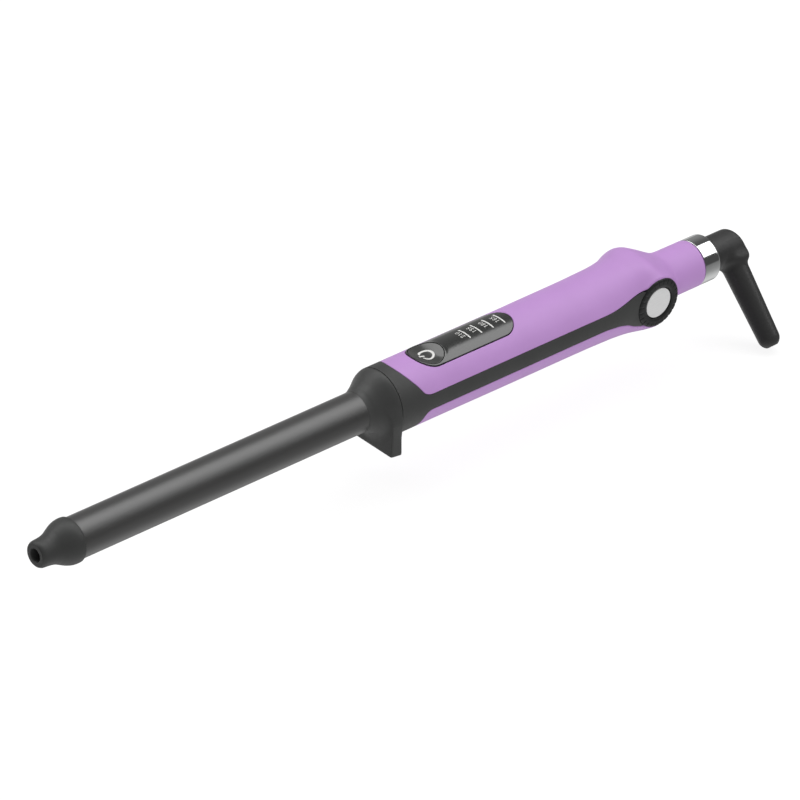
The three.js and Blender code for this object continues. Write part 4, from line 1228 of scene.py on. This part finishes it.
def stroke(centre_line, width):
    """Side lines of a stroke with round ends."""
    c = np.array(centre_line, float)
    t = np.gradient(c, axis=0)
    t /= np.linalg.norm(t, axis=1, keepdims=True)
    nrm = np.stack([-t[:, 1], t[:, 0]], -1)
    h = width / 2
    L, Rr = [], []
    for k in range(5):  # start cap
        a = math.radians(80 * (1 - k / 5))
        p = c[0] - t[0] * h * math.sin(a)
        L.append(p + nrm[0] * h * math.cos(a))
        Rr.append(p - nrm[0] * h * math.cos(a))
    L += list(c + nrm * h)
    Rr += list(c - nrm * h)
    for k in range(1, 6):
        a = math.radians(80 * k / 5)
        p = c[-1] + t[-1] * h * math.sin(a)
        L.append(p + nrm[-1] * h * math.cos(a))
        Rr.append(p - nrm[-1] * h * math.cos(a))
    return L, Rr


def lens_z(x, y):
    r = 16.05 + lens_lift(x, y)
    return np.sqrt(np.maximum(r**2 - np.asarray(y) ** 2, 0))


ink = Mesh()
BARS = [53.1, 59.9, 66.9, 73.8]
for x in BARS:
    ink_strip(ink, *stroke([[x, y] for y in np.linspace(-3.3, 4.1, 22)], 0.72), lens_z)

GLYPH = {  # strokes on a 1 x 1.9 cell, origin at the lower left
    "0": [[(0.5 + 0.42 * math.sin(t), 0.95 + 0.86 * math.cos(t)) for t in np.linspace(0, 2 * math.pi, 25)]],
    "1": [[(0.2, 1.5), (0.42, 1.66), (0.56, 1.81), (0.56, 0.09)]],
    "2": [[(0.1, 1.38), (0.16, 1.62), (0.34, 1.78), (0.54, 1.81), (0.76, 1.72), (0.87, 1.5), (0.85, 1.25), (0.7, 0.98), (0.45, 0.65), (0.12, 0.12), (0.92, 0.12)]],
    "5": [[(0.84, 1.8), (0.24, 1.8), (0.17, 1.02), (0.36, 1.14), (0.56, 1.14), (0.78, 1.0), (0.88, 0.7), (0.84, 0.4), (0.68, 0.16), (0.46, 0.09), (0.24, 0.15), (0.1, 0.36)]],
    "6": [[(0.82, 1.62), (0.66, 1.78), (0.48, 1.8), (0.28, 1.64), (0.15, 1.3), (0.12, 0.8), (0.17, 0.38), (0.34, 0.12), (0.54, 0.08), (0.75, 0.18), (0.88, 0.44), (0.86, 0.78), (0.7, 1.0), (0.48, 1.04), (0.26, 0.92), (0.13, 0.66)]],
    "8": [[(0.5 + 0.32 * math.sin(t), 1.4 + 0.41 * math.cos(t)) for t in np.linspace(0, 2 * math.pi, 19)],
          [(0.5 + 0.39 * math.sin(t), 0.54 + 0.46 * math.cos(t)) for t in np.linspace(0, 2 * math.pi, 21)]],
    "9": [[(0.16, 0.27), (0.32, 0.12), (0.5, 0.09), (0.7, 0.25), (0.83, 0.6), (0.87, 1.1), (0.82, 1.5), (0.66, 1.76), (0.46, 1.81), (0.25, 1.71), (0.13, 1.46), (0.15, 1.12), (0.31, 0.9), (0.52, 0.86), (0.73, 0.97), (0.85, 1.22)]],
}


def digits(text, x_bar):
    cell, height, gap = 1.32, 2.45, 0.42
    total = len(text) * cell + (len(text) - 1) * gap
    y0 = 0.62 - total / 2
    base_x = x_bar - 1.15
    for k, ch in enumerate(text):
        for line in GLYPH[ch]:
            p = np.array(line, float)
            q = resample(p, 0.09)
            plan = np.stack([base_x - q[:, 1] / 1.9 * height, y0 + k * (cell + gap) + q[:, 0] * cell], -1)
            ink_strip(ink, *stroke(plan, 0.25), lens_z)


for text, x in zip(("210", "195", "180", "165"), BARS):
    digits(text, x)
ink.build("panel_print", "wand", M["print_white"])

sym = Mesh()
cx, cy = 29.9, -0.25
a = np.radians(np.linspace(180 + 33, 180 + 360 - 33, 64))
ink_strip(sym, *stroke([[cx + 3.2 * math.cos(t), cy + 3.2 * math.sin(t)] for t in a], 1.02), dish_z)
ink_strip(sym, *stroke([[cx - x, cy] for x in np.linspace(4.0, 1.5, 10)], 0.95), dish_z)
sym.build("power_symbol", "power_key", M["print_white"])

# ========================================================================= dial
dr = Mesh()
prof, pn2 = rounded([(13.6, 3.7, 0.1), (14.2, 3.7, 0.15), (14.2, 7.8, 0.15), (16.35, 7.8, 0.35), (16.66, 8.9, 1.2), (16.68, 10.9, 1.2), (16.36, 11.76, 0.5), (15.8, 12.04, 0.5), (13.6, 12.04, 0.25)], True, 6)
# finer steps over the ribbed face
P2 = []
for i in range(len(prof)):
    j = (i + 1) % len(prof)
    P2.append(prof[i])
    if min(prof[i][0], prof[j][0]) > 15.2 and np.linalg.norm(prof[j] - prof[i]) > 0.4:
        k = int(np.linalg.norm(prof[j] - prof[i]) / 0.22)
        P2 += [prof[i] + (prof[j] - prof[i]) * t / k for t in range(1, k)]
prof = np.array(P2)
RIBS = 24
seg = RIBS * 16
th = np.linspace(0, 2 * np.pi, seg, endpoint=False)
wave = (np.arange(seg) % 16) / 16.0
groove = np.exp(-(((wave - 0.5) / 0.11) ** 4))
rp, dp = prof[:, 1], prof[:, 0]
reach = smooth_step(rp, 9.2, 10.4) * (1 - smooth_step(rp, 11.75, 12.0)) * (dp > 14.4)
D = dp[None, :] - 0.22 * groove[:, None] * reach[None, :] * smooth_step(dp, 14.4, 15.9)[None, :]
Rr = rp[None, :] - 0.0 * groove[:, None]
o3, A3, E1, E2 = y_axis(DIAL_X, DIAL_Z)
radv = np.cos(th)[:, None, None] * E1 + np.sin(th)[:, None, None] * E2
V = o3 + D[..., None] * A3 + Rr[..., None] * radv
dr.add(V, grid_faces(seg, len(prof), True, True), grid_normals(V, True, True) * 1.0)
# grid_normals may point inwards for the whole ring; test one outward point
test = grid_normals(V, True, True)[0]
k = int(np.argmax(dp))
if float(test[k] @ A3) < 0:
    dr.n[-1] = -dr.n[-1]
dr.build("dial_thumbwheel", "dial", M["dial_plastic"], ["dial_ring"])

hb = Mesh()
ax = y_axis(DIAL_X, DIAL_Z)
lathe(hb, [(8.0, 0, 0), (8.0, 3.0, 0.3), (14.5, 3.0, 0.1), (14.5, 7.5, 0.12), (15.6, 7.5, 0.12), (15.6, 0, 0)], ax, 96)
hb.build("dial_hub_post", "wand", M["frame_plastic"], ["dial_hub"])
bd = Mesh()
lathe(bd, [(15.7, 0, 0), (15.7, 7.3, 0.1), (16.12, 7.3, 0.2), (16.16, 5.0, 0), (16.18, 2.5, 0), (16.18, 0, 0)], ax, 128, split=1.2)
bd.build("hub_badge_disc", "wand", M["badge_metal"], ["hub_badge"])

sc = Mesh()
ax2 = y_axis(DIAL_X, DIAL_Z, 1.0)
lathe(sc, [(8.4, 0, 0), (8.4, 3.0, 0.3), (13.6, 3.0, 0.1), (13.6, 11.9, 0.2), (15.5, 11.9, 0.6), (16.0, 10.9, 0.5), (16.0, 8.6, 0.2), (15.6, 8.2, 0.25), (15.6, 0, 0)], ax2, 128, split=1.5)
sc.build("side_cap_cover", "wand", M["frame_plastic"], ["side_cap"])

# ================================================================= chrome ring
rg = Mesh()
lathe(rg, [(192.5, 8.2, 0.1), (192.5, 10.96, 0.3), (202.1, 10.96, 1.7), (202.1, 8.2, 0.2)], segments=192, steps=10, split=1.5)
rg.build("swivel_ring_band", "wand", M["ring_chrome"], ["swivel_ring"])

# ======================================================================== elbow
ANG = math.radians(44.5)
ARM_X = 215.5


def elbow_field(q):
    """q = (x, d, s): along the wand, down the arm, across."""
    x, d, s = q[..., 0], q[..., 1], q[..., 2]
    # head barrel with a straight-sided heel under it, the heel round towards the ring
    hs, rf = 7.33, 6.4
    qf, qs = 207.3 + rf - x, np.abs(s) - hs + rf
    heel = np.minimum(np.maximum(qf, qs), 0) + np.hypot(np.maximum(qf, 0), np.maximum(qs, 0)) - rf
    heel = smax(heel, d - 7.6 - 1.5 * smooth_step(x, 208.0, 219.0), 2.5)
    heel = smax(heel, -2.0 - d, 1.0)
    head = smin(np.hypot(d, s) - 8.12, heel, 1.2)
    # one end face for both, leaning back towards the top
    re = 2.2
    e1, e2 = head + re, x - 220.65 - 0.21 * np.clip(d, -9.0, 5.5) + re
    head = np.minimum(np.maximum(e1, e2), 0) + np.hypot(np.maximum(e1, 0), np.maximum(e2, 0)) - re
    head = smax(head, 195.6 - x, 0.5)
    # tapering arm
    rho = np.hypot(x - ARM_X + 0.0028 * np.maximum(d, 0), s)
    rad_ = 6.08 - (d - 8.6) * (0.95 / 37.4)
    rr_ = 4.85
    a1, a2 = rho - rad_ + rr_, d - 50.2 + rr_
    arm = np.minimum(np.maximum(a1, a2), 0) + np.hypot(np.maximum(a1, 0), np.maximum(a2, 0)) - rr_
    arm = smax(arm, 5.0 - d, 3.0)
    f = smin(head, arm, 3.0)
    bore = np.maximum(rho - 3.1 + 0.9 * smooth_step(d, 46.8, 48.8), -2.6 - d)
    f = smax(f, -bore, 0.45)
    f = smax(f, -np.maximum(np.hypot(d, s) - 2.0, x - 215.5), 0.3)
    return f


def surface_nets(field, lo, hi, h):
    ns = [int(math.ceil((b - a) / h)) + 1 for a, b in zip(lo, hi)]
    axes = [lo[i] + h * np.arange(ns[i]) for i in range(3)]
    G = np.stack(np.meshgrid(*axes, indexing="ij"), -1)
    F = field(G)
    neg = F < 0
    c = [slice(0, -1), slice(1, None)]
    cnt = np.zeros([n - 1 for n in ns])
    acc = np.zeros([n - 1 for n in ns] + [3])

    def cut(axis, o1, o2):
        # crossing of the cell edge along axis at corner offset (o1, o2) in the other two axes
        sl_a, sl_b = [None] * 3, [None] * 3
        others = [k for k in range(3) if k != axis]
        for k, o in zip(others, (o1, o2)):
            sl_a[k] = sl_b[k] = c[o]
        sl_a[axis], sl_b[axis] = c[0], c[1]
        fa, fb = F[tuple(sl_a)], F[tuple(sl_b)]
        pa, pb = G[tuple(sl_a)], G[tuple(sl_b)]
        cross = (fa < 0) != (fb < 0)
        t = np.where(cross, fa / np.where(cross, fa - fb, 1.0), 0)
        return cross, pa + (pb - pa) * t[..., None]

    for axis in range(3):
        for o1 in (0, 1):
            for o2 in (0, 1):
                cr, p = cut(axis, o1, o2)
                cnt += cr
                acc += p * cr[..., None]
    active = cnt > 0
    idx = np.full(active.shape, -1)
    idx[active] = np.arange(active.sum())
    V = acc[active] / cnt[active][:, None]
    faces = []
    for axis in range(3):
        o = [k for k in range(3) if k != axis]
        sa = [slice(None)] * 3
        sb = [slice(None)] * 3
        sa[axis], sb[axis] = slice(0, -1), slice(1, None)
        ch = neg[tuple(sa)] != neg[tuple(sb)]
        I = np.argwhere(ch)
        ok = (I[:, o[0]] > 0) & (I[:, o[1]] > 0) & (I[:, o[0]] < ns[o[0]] - 1) & (I[:, o[1]] < ns[o[1]] - 1)
        I = I[ok]
        cell = []
        for d0, d1 in ((-1, -1), (0, -1), (0, 0), (-1, 0)):
            J = I.copy()
            J[:, o[0]] += d0
            J[:, o[1]] += d1
            cell.append(idx[J[:, 0], J[:, 1], J[:, 2]])
        faces.append(np.stack(cell, -1))
    Fq = np.vstack(faces)
    for _ in range(4):
        val = field(V)
        g = np.stack([(field(V + np.eye(3)[i] * 0.02) - field(V - np.eye(3)[i] * 0.02)) / 0.04 for i in range(3)], -1)
        g2 = np.maximum((g * g).sum(1), 0.05)
        V = V - np.clip(val / g2, -0.2, 0.2)[:, None] * g
    return V, Fq, gradient(field, V)


def elbow_world(q):
    x, d, s = q[..., 0], q[..., 1], q[..., 2]
    return np.stack([x, -d * math.sin(ANG) + s * math.cos(ANG), -d * math.cos(ANG) - s * math.sin(ANG)], -1)


el = Mesh()
EV, EF, EN = surface_nets(elbow_field, (194.7, -9.1, -9.0), (222.7, 51.4, 9.0), 0.4)
el.add(elbow_world(EV), EF, elbow_world(EN))
lathe(el, [(170.5, 2.0, 0.15), (170.5, 3.0, 0.3), (180.2, 3.0, 0.1), (180.2, 5.0, 0.2), (195.58, 5.0, 0.1), (195.58, 2.0, 0.1)], segments=64)
elbow = el.build("elbow_moulding", "elbow", M["elbow_plastic"], ["elbow_body"])
elbow.visible_glossy = False
